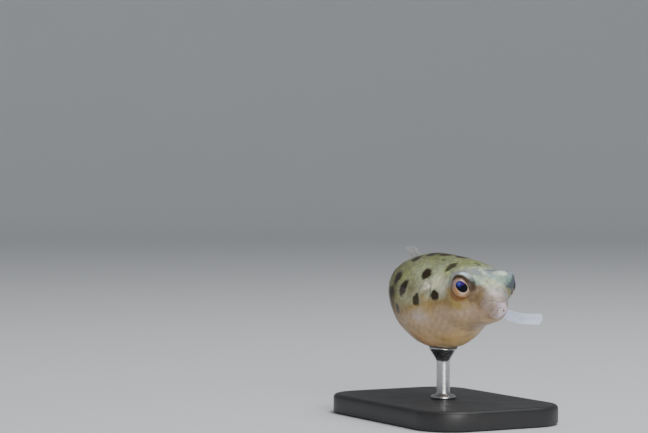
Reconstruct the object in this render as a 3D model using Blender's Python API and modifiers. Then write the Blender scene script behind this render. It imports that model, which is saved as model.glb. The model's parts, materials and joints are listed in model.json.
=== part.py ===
"""A freshwater pufferfish at life size, hovering with its tail folded to its left, on a small display stand.

World axes: the fish faces +X with its back up, +Z, and its left side towards +Y. The origin is the middle of
the stand's underside. The fish is worked out in body lengths, along a spine that starts at the mouth.
"""

import math

import bmesh
import bpy
import numpy as np
from mathutils import Matrix, Vector

# Sizes in metres
BODY_LENGTH = 0.024  # mouth to root of tail fin
GAP = 0.00015  # clearance between neighbouring solids
FIN_THICKNESS = 0.0005
FIN_NOTCH = 0.018  # how far the fin's edge draws in between rays, as a share of its length
BASE_LENGTH = 0.024
BASE_WIDTH = 0.016
BASE_HEIGHT = 0.002
BASE_CORNER = 0.004
BASE_EDGE = 0.0004
BELLY_HEIGHT = 0.0072  # lowest point of the belly above the floor
ROD_RADIUS = 0.0007
CUP_RADIUS = 0.0015
CUP_HEIGHT = 0.0007  # the cup rises this far past the lowest point of the belly, and is hollowed to fit it

# Pose
NOSE_DOWN = math.radians(7.0)
TAIL_FOLD = math.radians(85.0)  # turn of the tail to the fish's left
FOLD_START = 0.66  # along the spine
FOLD_END = 1.04
FOLD_EASE = 1.3
BALANCE = 0.50  # point of the spine that stands over the rod

# Body sections, in body lengths from the mouth and from the spine:
# place, top, bottom, half width, height of widest line, squareness above, squareness below
SECTIONS = np.array((
    (0.000, 0.036, -0.022, 0.034, 0.008, 2.0, 2.0),  # mouth
    (0.020, 0.044, -0.030, 0.038, 0.008, 2.0, 2.0),  # lips
    (0.060, 0.068, -0.034, 0.054, 0.010, 2.2, 2.2),  # nostrils
    (0.110, 0.101, -0.054, 0.080, 0.016, 2.5, 2.3),  # cheeks
    (0.180, 0.136, -0.078, 0.112, 0.016, 2.9, 2.4),  # eyes
    (0.260, 0.165, -0.115, 0.138, 0.010, 3.0, 1.95),  # nape
    (0.350, 0.175, -0.194, 0.154, -0.003, 2.5, 1.95),  # gill openings
    (0.450, 0.175, -0.226, 0.186, -0.036, 2.15, 1.98),
    (0.550, 0.170, -0.236, 0.193, -0.038, 1.88, 1.86),  # fullest part of the belly
    (0.650, 0.149, -0.206, 0.174, -0.026, 1.80, 1.86),
    (0.740, 0.118, -0.146, 0.128, -0.008, 1.90, 2.0),  # vent
    (0.830, 0.088, -0.086, 0.074, 0.002, 2.0, 2.0),
    (0.920, 0.068, -0.060, 0.044, 0.004, 2.0, 2.0),  # tail stalk
    (1.000, 0.062, -0.054, 0.032, 0.003, 2.0, 2.0),  # root of tail fin
))
LIPS_END = 0.035
HEAD_END = 0.345
TRUNK_END = 0.700
MOUTH_ROUNDING = 0.020  # length over which the lips round off to the mouth
MOUTH_SIZE = 0.60  # opening as a share of the lip section
MOUTH_DEPTH = 0.018
SNOUT_REACH = 0.12  # the snout before this place is drawn back, the lower lip more than the upper
SNOUT_SHIFT = 0.022
SNOUT_SLANT = 0.45
SNOUT_TOP = 0.036
BEAK_HALF_WIDTH = 0.0100
BEAK_HEIGHT = 0.0060
BEAK_DEPTH = 0.012

# Eyes, in body lengths
EYE_PLACE = 0.182
EYE_SIDE = 0.088
EYE_HEIGHT = 0.090
EYE_RADIUS = 0.056
EYE_FORWARD = math.radians(30.0)
EYE_UP = math.radians(3.0)
ORBIT_RADIUS = 0.0675
ORBIT_SINK = 0.014  # the orbit's centre lies this far behind the eye's, along its axis

SPINE_STEPS = 1200
SPINE_REACH = 1.30
AROUND = 36  # points round a body section

SKIN_BACK = (0.30, 0.34, 0.20)
SKIN_BELLY = (0.52, 0.46, 0.38)
SKIN_SNOUT = (0.50, 0.44, 0.42)
FIN_COLOUR = (0.62, 0.62, 0.72)
EYE_COLOUR = (0.10, 0.05, 0.10)
BEAK_COLOUR = (0.85, 0.80, 0.72)
STAND_DARK = (0.030, 0.028, 0.026)
STAND_STEEL = (0.55, 0.55, 0.56)


def clear_scene():
    for old in list(bpy.data.objects):
        bpy.data.objects.remove(old)


def collection(name):
    made = bpy.data.collections.new(name)
    bpy.context.scene.collection.children.link(made)
    return made


def material(name, colour, roughness, metallic=0.0):
    made = bpy.data.materials.new(name)
    made.use_nodes = True
    shader = made.node_tree.nodes["Principled BSDF"]
    shader.inputs["Base Color"].default_value = (*colour, 1.0)
    shader.inputs["Roughness"].default_value = roughness
    shader.inputs["Metallic"].default_value = metallic
    made.diffuse_color = (*colour, 1.0)
    return made


def through(place, places, values):
    """Cubic curve through values at places, whose slope at each is that of the parabola of its neighbours."""
    slopes = np.gradient(values, places, edge_order=2)
    i = np.clip(np.searchsorted(places, place, side="right") - 1, 0, len(places) - 2)
    span = places[i + 1] - places[i]
    t = (place - places[i]) / span
    start = (1 + 2 * t) * (1 - t) ** 2 * values[i] + t * (1 - t) ** 2 * span * slopes[i]
    end = t * t * (3 - 2 * t) * values[i + 1] + t * t * (t - 1) * span * slopes[i + 1]
    return start + end


def section(place):
    """(top, bottom, half width, height of widest line, squareness above, squareness below) at places."""
    place = np.asarray(place, dtype=float)
    values = [through(place, SECTIONS[:, 0], SECTIONS[:, k]) for k in range(1, SECTIONS.shape[1])]
    into = np.clip(1 - place / MOUTH_ROUNDING, 0, 1)
    size = MOUTH_SIZE + (1 - MOUTH_SIZE) * np.sqrt(1 - into**2)
    middle = values[3]
    values[0] = middle + (values[0] - middle) * size
    values[1] = middle + (values[1] - middle) * size
    values[2] = values[2] * size
    return values


def fold_angle(place):
    """How far the spine has turned to the left at places."""
    t = np.clip((np.asarray(place) - FOLD_START) / (FOLD_END - FOLD_START), 0, 1)
    return TAIL_FOLD * t**FOLD_EASE


def spine(place):
    """(x, y, turn) of the spine at places: the path whose direction is the fold angle."""
    steps = np.linspace(0, SPINE_REACH, SPINE_STEPS + 1)
    turn = fold_angle(steps)
    middle = (turn[1:] + turn[:-1]) / 2
    x = np.concatenate(((0,), np.cumsum(-np.cos(middle)))) * steps[1]
    y = np.concatenate(((0,), np.cumsum(np.sin(middle)))) * steps[1]
    return np.interp(place, steps, x), np.interp(place, steps, y), fold_angle(place)


def lowest_point():
    places = np.linspace(0.3, 0.8, 200)
    _, bottom = section(places)[:2]
    x = spine(places)[0]
    return (bottom * math.cos(NOSE_DOWN) - x * math.sin(NOSE_DOWN)).min()


def snout_drawn_back(points):
    """Points of the snout moved back by a smooth share of a shift that grows downwards."""
    t = np.clip(-points[..., 0] / SNOUT_REACH, 0, 1)
    drop = np.clip(SNOUT_TOP - points[..., 2], -0.02, 0.09)
    back = (1 - t * t * (3 - 2 * t)) * (SNOUT_SHIFT + SNOUT_SLANT * drop)
    return np.stack((points[..., 0] - back, points[..., 1], points[..., 2]), axis=-1)


def in_world(points):
    """World places of points given in body lengths with x forward, y left and z up from the mouth."""
    points = snout_drawn_back(np.asarray(points, dtype=float))
    c, s = math.cos(NOSE_DOWN), math.sin(NOSE_DOWN)
    balance_x = spine(BALANCE)[0] * c
    x = points[..., 0] * c + points[..., 2] * s - balance_x
    z = points[..., 2] * c - points[..., 0] * s - lowest_point()
    place = np.stack((x, points[..., 1], z), axis=-1) * BODY_LENGTH
    return place + np.array((0.0, 0.0, BELLY_HEIGHT))


def on_body(place, side, height):
    """Body-length point at a place along the spine, to its left by side, and above it by height."""
    x, y, turn = spine(place)
    return np.stack(np.broadcast_arrays(x + side * np.sin(turn), y + side * np.cos(turn), height), axis=-1)


def ring(place, around=AROUND, swell=0.0, size=1.0):
    """One body section: a closed curve of two half superellipses, above and below its widest line."""
    angle = np.arange(around) * 2 * math.pi / around
    top, bottom, half, middle, above, below = (float(v) for v in section(place))
    power = np.where(np.sin(angle) >= 0, 2 / above, 2 / below)
    side = np.sign(np.cos(angle)) * np.abs(np.cos(angle)) ** power * (half * size + swell)
    reach = np.where(np.sin(angle) >= 0, (top - middle) * size + swell, (middle - bottom) * size + swell)
    height = middle + np.sign(np.sin(angle)) * np.abs(np.sin(angle)) ** power * reach
    return on_body(place, side, height)


def add_object(name, mesh, coll, mat=None):
    made = bpy.data.objects.new(name, mesh)
    coll.objects.link(made)
    if mat:
        mesh.materials.append(mat)
    return made


def loft(name, rings, coll, mat=None):
    """Closed mesh through rings of equal counts, with a flat cap at each end."""
    form = bmesh.new()
    rows = [[form.verts.new(p) for p in in_world(r)] for r in rings]
    for row, following in zip(rows, rows[1:]):
        for i in range(len(row)):
            j = (i + 1) % len(row)
            form.faces.new((row[i], row[j], following[j], following[i]))
    form.faces.new(rows[0][::-1])
    form.faces.new(rows[-1])
    bmesh.ops.recalc_face_normals(form, faces=form.faces)
    mesh = bpy.data.meshes.new(name)
    form.to_mesh(mesh)
    form.free()
    mesh.shade_smooth()
    mesh.set_sharp_from_angle(angle=math.radians(40))
    return add_object(name, mesh, coll, mat)


def body_length(name, start, end, count, parts, mat):
    """One length of the body, held back by half a gap at a cut."""
    half_gap = GAP / BODY_LENGTH / 2
    places = np.linspace(start + half_gap, end - half_gap, count)
    return loft(name, [ring(p) for p in places], parts, mat)


def make_lips(parts, mat):
    """The lips round off forward to the mouth, and the last rings go back inside it."""
    half_gap = GAP / BODY_LENGTH / 2
    outer = LIPS_END - half_gap
    bend = 1 - np.cos(np.linspace(math.pi / 2, 0, 7))
    rings = [ring(place) for place in outer * bend]
    rings += [ring(0.0) + np.array((-depth * MOUTH_DEPTH, 0, 0)) for depth in (0.5, 1.0)]
    return loft("lips", rings, parts, mat)


def make_beak(parts, mat):
    """Two biting plates, one above the other, each a rounded block across the mouth."""
    middle = float(section(0.0)[3])
    slit = GAP / BODY_LENGTH / 2
    for name, way in (("beak_upper", 1), ("beak_lower", -1)):
        form = bmesh.new()
        bmesh.ops.create_cube(form, size=1.0)
        for vertex in form.verts:
            vertex.co.x = (vertex.co.x - 0.5) * BEAK_DEPTH
            vertex.co.y *= 2 * BEAK_HALF_WIDTH * (1 if vertex.co.z * way < 0 else 0.62)
            vertex.co.z = middle + way * (slit + (0.5 + vertex.co.z * way) * BEAK_HEIGHT)
        bmesh.ops.bevel(
            form, geom=form.edges[:], offset=BEAK_HEIGHT * 0.18, segments=2, affect="EDGES", profile=0.5
        )
        for vertex, place in zip(form.verts, in_world([v.co[:] for v in form.verts])):
            vertex.co = place
        bmesh.ops.recalc_face_normals(form, faces=form.faces)
        mesh = bpy.data.meshes.new(name)
        form.to_mesh(mesh)
        form.free()
        mesh.shade_smooth()
        mesh.set_sharp_from_angle(angle=math.radians(40))
        add_object(name, mesh, parts, mat)


def eye_axis(side):
    """Direction that an eye looks in, in body lengths: side is 1 for the left eye and -1 for the right."""
    level = math.cos(EYE_UP)
    return Vector((math.sin(EYE_FORWARD) * level, side * math.cos(EYE_FORWARD) * level, math.sin(EYE_UP)))


def ball(name, centre, axis, radius, coll, mat=None, segments=24, rings=14):
    """Sphere with its pole on an axis, from a centre and axis in body lengths."""
    form = bmesh.new()
    bmesh.ops.create_uvsphere(form, u_segments=segments, v_segments=rings, radius=radius * BODY_LENGTH)
    tilt = Matrix.Rotation(NOSE_DOWN, 4, "Y")
    turn = (tilt @ axis.to_4d()).to_3d().to_track_quat("Z", "Y").to_matrix().to_4x4()
    place = Matrix.Translation(Vector(in_world(centre)))
    bmesh.ops.transform(form, matrix=place @ turn, verts=form.verts)
    mesh = bpy.data.meshes.new(name)
    form.to_mesh(mesh)
    form.free()
    mesh.shade_smooth()
    return add_object(name, mesh, coll, mat)


def boolean(target, other, operation):
    modifier = target.modifiers.new(other.name, "BOOLEAN")
    modifier.operation = operation
    modifier.object = other
    modifier.solver = "EXACT"


def make_cutter(cutter):
    cutter.hide_render = True
    cutter.display_type = "WIRE"


def make_eyes(parts, helpers, head, mat):
    """Each eye is a ball in a hollow of an orbit that stands out from the head."""
    clearance = GAP / BODY_LENGTH
    for name, side in (("eye_right", -1), ("eye_left", 1)):
        axis = eye_axis(side)
        centre = Vector(on_body(EYE_PLACE, side * EYE_SIDE, EYE_HEIGHT))
        ball(name, centre, axis, EYE_RADIUS, parts, mat, segments=24, rings=16)
        orbit = ball(name + "_orbit", centre - axis * ORBIT_SINK, axis, ORBIT_RADIUS, helpers)
        # Other counts than the orbit's, so that no edges of the two balls lie in one plane
        hollow = ball(name + "_hollow", centre, axis, EYE_RADIUS + clearance, helpers, segments=22, rings=15)
        for helper, operation in ((orbit, "UNION"), (hollow, "DIFFERENCE")):
            make_cutter(helper)
            boolean(head, helper, operation)


def fin_sheet(name, root, tip, rays, coll, mat, rounding=0.1, bow=0.0, sag=0.0, rows=6):
    """A fan between a root edge and a tip edge, each a pair of body-length points, solidified.

    A point lies on the straight line between the two edges, pushed out of the fan's plane by a sine of its
    distance from the root, and lowered by another that is zero at both edges. The far edge is rounded by a
    parabola, and drawn in a little between rays.
    """
    root, tip = np.array(root, dtype=float), np.array(tip, dtype=float)
    columns = 2 * rays - 1
    across = np.linspace(0, 1, columns)
    along = np.linspace(0, 1, rows)
    normal = np.cross(root[1] - root[0], tip.mean(axis=0) - root.mean(axis=0))
    normal /= np.linalg.norm(normal)
    notch = FIN_NOTCH * (np.arange(columns) % 2)
    reach = (1 - rounding * (2 * across - 1) ** 2 - notch)[None, :] * along[:, None]
    near = root[0] + (root[1] - root[0]) * across[:, None]
    far = tip[0] + (tip[1] - tip[0]) * across[:, None]
    points = near + (far - near) * reach[..., None]
    points += normal * (bow * np.sin(reach * math.pi / 1.2))[..., None]
    points[..., 2] -= sag * np.sin(reach * math.pi)
    points = in_world(points)

    form = bmesh.new()
    grid = [[form.verts.new(p) for p in row] for row in points]
    for row, following in zip(grid, grid[1:]):
        for i in range(columns - 1):
            form.faces.new((row[i], row[i + 1], following[i + 1], following[i]))
    mesh = bpy.data.meshes.new(name)
    form.to_mesh(mesh)
    form.free()
    made = add_object(name, mesh, coll, mat)
    thick = made.modifiers.new("thickness", "SOLIDIFY")
    thick.thickness = FIN_THICKNESS
    thick.offset = 0.0
    thick.use_even_offset = True
    return made


def make_fins(parts, helpers, mat):
    """Five fins, each starting inside the body and cut back to it with a gap."""
    swell = GAP / BODY_LENGTH
    places = np.linspace(0.30, 1.0 + swell, 22)
    body = loft("body_cutter", [ring(p, around=28, swell=swell) for p in places], helpers)
    make_cutter(body)

    def at(place, side, height):
        return on_body(place, side, height)

    fins = [
        fin_sheet(
            "pectoral_fin_right",
            (at(0.372, -0.140, 0.052), at(0.388, -0.145, -0.032)),
            (at(0.560, -0.235, 0.020), at(0.470, -0.225, -0.140)),
            rays=10, coll=parts, mat=mat, rounding=0.14, bow=0.012,
        ),
        fin_sheet(
            "pectoral_fin_left",
            (at(0.372, 0.140, -0.005), at(0.388, 0.145, -0.051)),
            (at(0.244, 0.344, -0.046), at(0.297, 0.380, -0.108)),
            rays=10, coll=parts, mat=mat, rounding=0.04, bow=0.007, sag=0.021,
        ),
        fin_sheet(
            "dorsal_fin",
            (at(0.700, 0.0, 0.108), at(0.790, 0.0, 0.084)),
            (at(0.745, -0.026, 0.168), at(0.840, -0.052, 0.148)),
            rays=7, coll=parts, mat=mat, rounding=0.12, bow=0.006,
        ),
        fin_sheet(
            "anal_fin",
            (at(0.735, 0.0, -0.110), at(0.805, 0.0, -0.075)),
            (at(0.835, 0.0, -0.225), at(0.885, 0.0, -0.150)),
            rays=7, coll=parts, mat=mat, rounding=0.12, bow=0.006,
        ),
        fin_sheet(
            "caudal_fin",
            (at(0.975, 0.0, 0.058), at(0.975, 0.0, -0.050)),
            (at(1.250, 0.0, 0.075), at(1.250, 0.0, -0.090)),
            rays=9, coll=parts, mat=mat, rounding=0.07, bow=0.0, rows=7,
        ),
    ]
    for fin in fins:
        boolean(fin, body, "DIFFERENCE")
    return body


def turned(name, profile, coll, mat, steps=24):
    """A profile of (radius, height), listed top to bottom down its outer side, turned about the vertical."""
    form = bmesh.new()
    row = [form.verts.new((radius, 0, height)) for radius, height in profile]
    for first, second in zip(row, row[1:]):
        form.edges.new((first, second))
    mesh = bpy.data.meshes.new(name)
    form.to_mesh(mesh)
    form.free()
    made = add_object(name, mesh, coll, mat)
    screw = made.modifiers.new("turn", "SCREW")
    screw.steps = screw.render_steps = steps
    screw.use_merge_vertices = True
    screw.merge_threshold = 1e-6
    screw.use_smooth_shade = True
    return made


def make_stand(parts, body, dark, steel):
    """A flat base with rounded corners, and a turned rod whose cup is hollowed to fit the belly."""
    bpy.ops.mesh.primitive_cube_add(size=1.0, location=(0, 0, BASE_HEIGHT / 2))
    base = bpy.context.object
    base.name = "stand_base"
    base.data.name = "stand_base"
    base.data.transform(Matrix.Diagonal((BASE_LENGTH, BASE_WIDTH, BASE_HEIGHT, 1.0)))
    form = bmesh.new()
    form.from_mesh(base.data)
    upright = [e for e in form.edges if abs(e.verts[0].co.z - e.verts[1].co.z) > BASE_HEIGHT / 2]
    bmesh.ops.bevel(form, geom=upright, offset=BASE_CORNER, segments=6, affect="EDGES", profile=0.5)
    rim = [e for e in form.edges if all(v.co.z > 0 for v in e.verts)]
    bmesh.ops.bevel(form, geom=rim, offset=BASE_EDGE, segments=2, affect="EDGES", profile=0.5)
    form.to_mesh(base.data)
    form.free()
    base.data.shade_smooth()
    base.data.set_sharp_from_angle(angle=math.radians(30))
    base.data.materials.append(dark)
    for old in base.users_collection:
        old.objects.unlink(base)
    parts.objects.link(base)

    foot = BASE_HEIGHT + GAP
    cup_top = BELLY_HEIGHT + CUP_HEIGHT
    cup_foot = BELLY_HEIGHT - 2 * CUP_HEIGHT
    profile = [(0.0, cup_top), (CUP_RADIUS, cup_top)]
    for turn in np.linspace(0, math.pi / 2, 5)[1:]:
        profile.append((
            ROD_RADIUS + (CUP_RADIUS - ROD_RADIUS) * (1 - math.sin(turn)),
            BELLY_HEIGHT - (BELLY_HEIGHT - cup_foot) * (1 - math.cos(turn)),
        ))
    flange = 1.9 * ROD_RADIUS
    profile += [
        (ROD_RADIUS, foot + 0.9 * ROD_RADIUS),
        (1.25 * ROD_RADIUS, foot + 0.5 * ROD_RADIUS),
        (flange, foot + 0.35 * ROD_RADIUS),
        (flange, foot),
        (0.0, foot),
    ]
    rod = turned("stand_rod", profile, parts, steel)
    boolean(rod, body, "DIFFERENCE")


def main():
    clear_scene()
    parts = collection("pufferfish")
    helpers = collection("cutters")
    back = material("skin_back", SKIN_BACK, 0.45)
    belly = material("skin_belly", SKIN_BELLY, 0.45)
    snout = material("skin_snout", SKIN_SNOUT, 0.45)
    fin = material("fin_membrane", FIN_COLOUR, 0.35)
    eye = material("eye", EYE_COLOUR, 0.08)
    bone = material("beak", BEAK_COLOUR, 0.30)
    dark = material("stand_base", STAND_DARK, 0.35)
    steel = material("stand_steel", STAND_STEEL, 0.30, metallic=1.0)

    make_lips(parts, snout)
    make_beak(parts, bone)
    head = body_length("head", LIPS_END, HEAD_END, 15, parts, back)
    body_length("trunk", HEAD_END, TRUNK_END, 14, parts, belly)
    body_length("tail", TRUNK_END, 1.0 + GAP / BODY_LENGTH / 2, 14, parts, back)
    make_eyes(parts, helpers, head, eye)
    body = make_fins(parts, helpers, fin)
    make_stand(parts, body, dark, steel)


main()
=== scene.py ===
"""The looks of a small freshwater pufferfish on its display stand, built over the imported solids.

World axes: the fish faces +X with its back up, +Z, and its left side towards +Y. Most shapes are worked out in
body lengths first, with x forward, y left and z up from the mouth, on a straight body; "bent" then folds the
tail to the left, and "in_world" pitches the fish, scales it and sets it over the stand.
"""

import json
import math

import bpy
import numpy as np
from bpy.props import FloatProperty, FloatVectorProperty, PointerProperty
from mathutils import Vector
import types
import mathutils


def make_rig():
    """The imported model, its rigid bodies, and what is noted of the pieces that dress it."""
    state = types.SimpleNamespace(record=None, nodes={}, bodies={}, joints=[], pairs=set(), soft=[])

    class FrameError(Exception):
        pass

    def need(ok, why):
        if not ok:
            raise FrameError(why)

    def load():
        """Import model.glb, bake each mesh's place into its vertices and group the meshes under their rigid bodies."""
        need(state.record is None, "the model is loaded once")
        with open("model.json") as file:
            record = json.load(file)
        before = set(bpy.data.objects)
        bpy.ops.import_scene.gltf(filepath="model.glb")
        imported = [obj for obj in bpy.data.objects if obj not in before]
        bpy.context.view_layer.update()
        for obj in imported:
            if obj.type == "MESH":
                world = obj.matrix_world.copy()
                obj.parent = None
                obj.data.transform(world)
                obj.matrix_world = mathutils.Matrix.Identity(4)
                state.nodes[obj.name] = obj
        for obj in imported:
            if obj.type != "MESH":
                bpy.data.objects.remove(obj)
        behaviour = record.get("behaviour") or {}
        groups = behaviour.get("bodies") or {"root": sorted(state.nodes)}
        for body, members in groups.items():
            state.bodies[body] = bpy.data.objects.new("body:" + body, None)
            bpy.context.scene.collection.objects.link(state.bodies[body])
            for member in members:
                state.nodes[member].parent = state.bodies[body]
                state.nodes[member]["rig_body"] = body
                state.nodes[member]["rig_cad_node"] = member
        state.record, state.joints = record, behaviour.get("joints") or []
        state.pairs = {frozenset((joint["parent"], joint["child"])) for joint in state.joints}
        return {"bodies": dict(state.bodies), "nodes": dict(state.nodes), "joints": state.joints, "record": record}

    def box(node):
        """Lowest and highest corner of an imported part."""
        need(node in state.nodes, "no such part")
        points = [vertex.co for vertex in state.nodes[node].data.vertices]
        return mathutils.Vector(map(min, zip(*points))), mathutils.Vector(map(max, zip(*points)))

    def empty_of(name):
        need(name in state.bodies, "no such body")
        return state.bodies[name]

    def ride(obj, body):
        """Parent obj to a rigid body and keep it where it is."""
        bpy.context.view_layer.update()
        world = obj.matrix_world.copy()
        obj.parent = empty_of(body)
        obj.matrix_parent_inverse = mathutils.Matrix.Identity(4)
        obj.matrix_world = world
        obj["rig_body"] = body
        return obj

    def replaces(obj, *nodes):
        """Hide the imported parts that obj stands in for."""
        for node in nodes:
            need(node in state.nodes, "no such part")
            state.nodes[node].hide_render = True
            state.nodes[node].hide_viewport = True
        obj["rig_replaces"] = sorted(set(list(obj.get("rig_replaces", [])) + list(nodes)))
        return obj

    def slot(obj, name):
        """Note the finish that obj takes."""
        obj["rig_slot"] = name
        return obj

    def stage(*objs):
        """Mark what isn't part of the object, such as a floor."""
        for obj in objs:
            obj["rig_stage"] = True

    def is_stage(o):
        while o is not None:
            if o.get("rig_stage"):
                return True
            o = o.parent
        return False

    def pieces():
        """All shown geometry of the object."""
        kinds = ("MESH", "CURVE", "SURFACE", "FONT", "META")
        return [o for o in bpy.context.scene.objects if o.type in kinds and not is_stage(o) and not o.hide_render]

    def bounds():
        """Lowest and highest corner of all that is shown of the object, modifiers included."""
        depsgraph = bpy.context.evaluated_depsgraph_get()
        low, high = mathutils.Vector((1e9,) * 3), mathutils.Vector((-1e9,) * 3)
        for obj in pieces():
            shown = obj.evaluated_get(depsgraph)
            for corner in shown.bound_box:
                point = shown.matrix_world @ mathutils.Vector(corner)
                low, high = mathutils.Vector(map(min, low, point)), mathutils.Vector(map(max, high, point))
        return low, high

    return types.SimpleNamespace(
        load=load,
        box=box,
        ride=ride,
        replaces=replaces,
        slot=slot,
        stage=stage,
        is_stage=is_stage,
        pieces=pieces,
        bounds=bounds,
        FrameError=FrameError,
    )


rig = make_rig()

bl_info = {
    "name": "Pufferfish on a display stand",
    "version": (1, 0, 0),
    "blender": (4, 5, 0),
    "location": "3D View > Sidebar > Pufferfish",
    "description": "Skin, eyes, beak, fins, stand and stage of a small freshwater pufferfish",
    "category": "Add Mesh",
}

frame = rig.load()

# The body, as in the solids: lengths in metres, angles in radians, the rest in body lengths
BODY_LENGTH = 0.024
BELLY_HEIGHT = 0.0072
NOSE_DOWN = math.radians(7.0)
TAIL_FOLD = math.radians(85.0)
FOLD_START = 0.66
FOLD_END = 1.04
FOLD_EASE = 1.3
BALANCE = 0.5
SPINE_STEPS = 1200
SPINE_REACH = 1.3
MOUTH_ROUNDING = 0.02
MOUTH_SIZE = 0.6
SNOUT_REACH = 0.12
SNOUT_SHIFT = 0.022
SNOUT_SLANT = 0.45
SNOUT_TOP = 0.036
SNOUT_DROP = (-0.02, 0.09)
HEAD_END = 0.4
STUB_DEPTH = 0.012

# place, top, bottom, half width, height of widest line, squareness above, squareness below
SECTIONS = np.array((
    (0.000, 0.036, -0.022, 0.034, 0.008, 2.0, 2.0),
    (0.020, 0.044, -0.030, 0.038, 0.008, 2.0, 2.0),
    (0.060, 0.068, -0.034, 0.054, 0.010, 2.2, 2.2),
    (0.110, 0.101, -0.054, 0.080, 0.016, 2.5, 2.3),
    (0.180, 0.136, -0.078, 0.112, 0.016, 2.9, 2.4),
    (0.260, 0.165, -0.115, 0.138, 0.010, 3.0, 1.95),
    (0.350, 0.175, -0.194, 0.154, -0.003, 2.5, 1.95),
    (0.450, 0.175, -0.226, 0.186, -0.036, 2.15, 1.98),
    (0.550, 0.170, -0.236, 0.193, -0.038, 1.88, 1.86),
    (0.650, 0.149, -0.206, 0.174, -0.026, 1.80, 1.86),
    (0.740, 0.118, -0.146, 0.128, -0.008, 1.90, 2.0),
    (0.830, 0.088, -0.086, 0.074, 0.002, 2.0, 2.0),
    (0.920, 0.068, -0.060, 0.044, 0.004, 2.0, 2.0),
    (1.000, 0.062, -0.054, 0.032, 0.003, 2.0, 2.0),
))

# Eyes
EYE_PLACE = 0.182
EYE_SIDE = 0.088
EYE_HEIGHT = 0.09
EYE_FORWARD = math.radians(30.0)
EYE_UP = math.radians(3.0)
GAZE_FORWARD = math.radians(38.7)
GAZE_UP = math.radians(4.8)
PUPIL_DEGREES = 22.05
DOME_RADIUS = 0.064
DOME_SINK = 0.006
DOME_LIMIT = 0.06
CORNEA_REACH = 0.0497
BALL_BACK = 0.04
BALL_EDGE = 0.0006
BALL_TIP = 0.0004
BALL_COLUMNS = 144
EYE_OPENING = 0.0505
SOCKET_REACH = 0.0522
LID_GAP = 0.0016
LID_THICKNESS = 0.0042
LID_ROUNDING = 0.0007
LID_BLEND = 0.003
HOOD_FULL = 0.006  # where a lid hangs this far over the opening, it is as thick as it gets
RIDGE_RISE = 0.0052
RIDGE_WIDTH = 0.008
ROLL_RISE = 0.0008
ROLL_REACH = 0.0535
ROLL_WIDTH = 0.003
WAVE_START = 0.0545
WAVE_LENGTH = 0.0072
FAN_SINK = 0.064  # the point that the head's skin is spread from lies this far behind the eye's centre
ORBIT_BLEND = 0.03
RIM_RING = 14
LID_RING = 26
LAST_RING = 41
LID_REACH = 0.0665
RING_STEP = 0.0026

# The mouth
SLIT_HALF_WIDTH = 0.0175
SLIT_HALF_HEIGHT = 0.0085
SLIT_HEIGHT = 0.0075
SLIT_DEPTH = 0.01
CURL_ROWS = 11
THROAT_ROWS = 4
THROAT_DEPTH = 0.018
THROAT_TAPER = 0.25
THROAT_END = 0.004
PLATE_DEPTH, PLATE_WIDTH, PLATE_HEIGHT = 0.0068, 0.0146, 0.0042  # half sizes of a tooth plate
PLATE_BACK = 0.0092
PLATE_BOW = 26.0
BITE_HEIGHT = 0.0078
BITE_OFFSET = 0.0047

# The stand, in metres
PLINTH_LENGTH = 0.024
PLINTH_WIDTH = 0.016
PLINTH_HEIGHT = 0.002
PLINTH_CORNER = 0.004
PLINTH_EDGE = 0.0004
CORNER_STEPS = 19
ROD_RADIUS = 0.0007
CUP_RADIUS = 0.0015
CUP_HEIGHT = 0.0007
PAD_THICKNESS = 0.00015
STEM_ROWS = 14
DISC_COLUMNS = 72

# Counts and the stage
SKIN_COLUMNS = 288
SEARCH_REACH = 0.7
SEARCH_STEPS = 34
SPOT_STEP = 0.004
SPOT_DEPTH = 0.05
RAY_STEPS = 14
FIN_ROWS = 64
FLOOR_REACH = 0.6
FLOOR_LEVEL = -0.00003
WALL_BEND = 0.25
WALL_TOP = 0.45
CAMERA_LENS = 122.2
CAMERA_SENSOR = 36.0
CAMERA_AZIMUTH = math.radians(58.0)
CAMERA_RISE = math.radians(3.0)
CAMERA_DISTANCE = 0.22
CAMERA_AIM_LEFT = 0.016
CAMERA_AIM_UP = 0.00685


# ---------------------------------------------------------------- the body's own measures


def xyz(x, y, z):
    """Points from coordinates that spread over one another."""
    return np.stack(np.broadcast_arrays(x, y, z), axis=-1)


def unit(vectors):
    """Vectors scaled to length 1."""
    return vectors / np.linalg.norm(vectors, axis=-1, keepdims=True)


def turns_of(count):
    """Equal turns round a circle."""
    return np.arange(count) * 2 * math.pi / count


def smooth(value, start, end):
    """0 at start, 1 at end, and a smooth cubic step between; start may be the greater of the two."""
    t = np.clip((value - start) / (end - start), 0, 1)
    return t * t * (3 - 2 * t)


def hump(value, centre, width):
    """A bell of height 1 at the centre."""
    return np.exp(-(((value - centre) / width) ** 2))


def turned(turn, start, end, soft):
    """1 between two turns in degrees, fading to 0 over soft degrees outside them."""
    middle, half = (start + end) / 2, (end - start) / 2
    return smooth(np.abs((turn - middle + 180) % 360 - 180), half + soft, half)


def softened(turn, turns, values, steps):
    """A table of values by turn in degrees, averaged over steps to either side."""
    return sum(np.interp((turn + step + 180) % 360 - 180, turns, values) for step in steps) / len(steps)


def smooth_max(a, b, reach):
    """The greater of a and b, rounded where they lie within reach of each other."""
    h = np.clip(reach - np.abs(a - b), 0, None) / reach
    return np.maximum(a, b) + h * h * reach / 4


def ripple(points, size, seed, layers=9):
    """Smooth unevenness between about -1 and 1: a sum of sine waves in fixed directions, about size apart."""
    source = np.random.default_rng(seed)
    total = np.zeros(points.shape[:-1])
    for _ in range(layers):
        way = source.normal(size=3)
        way *= 2 * math.pi / (size * source.uniform(0.7, 1.5)) / np.linalg.norm(way)
        total += np.sin(points @ way + source.uniform(0, 2 * math.pi))
    return total / math.sqrt(layers)


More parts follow.
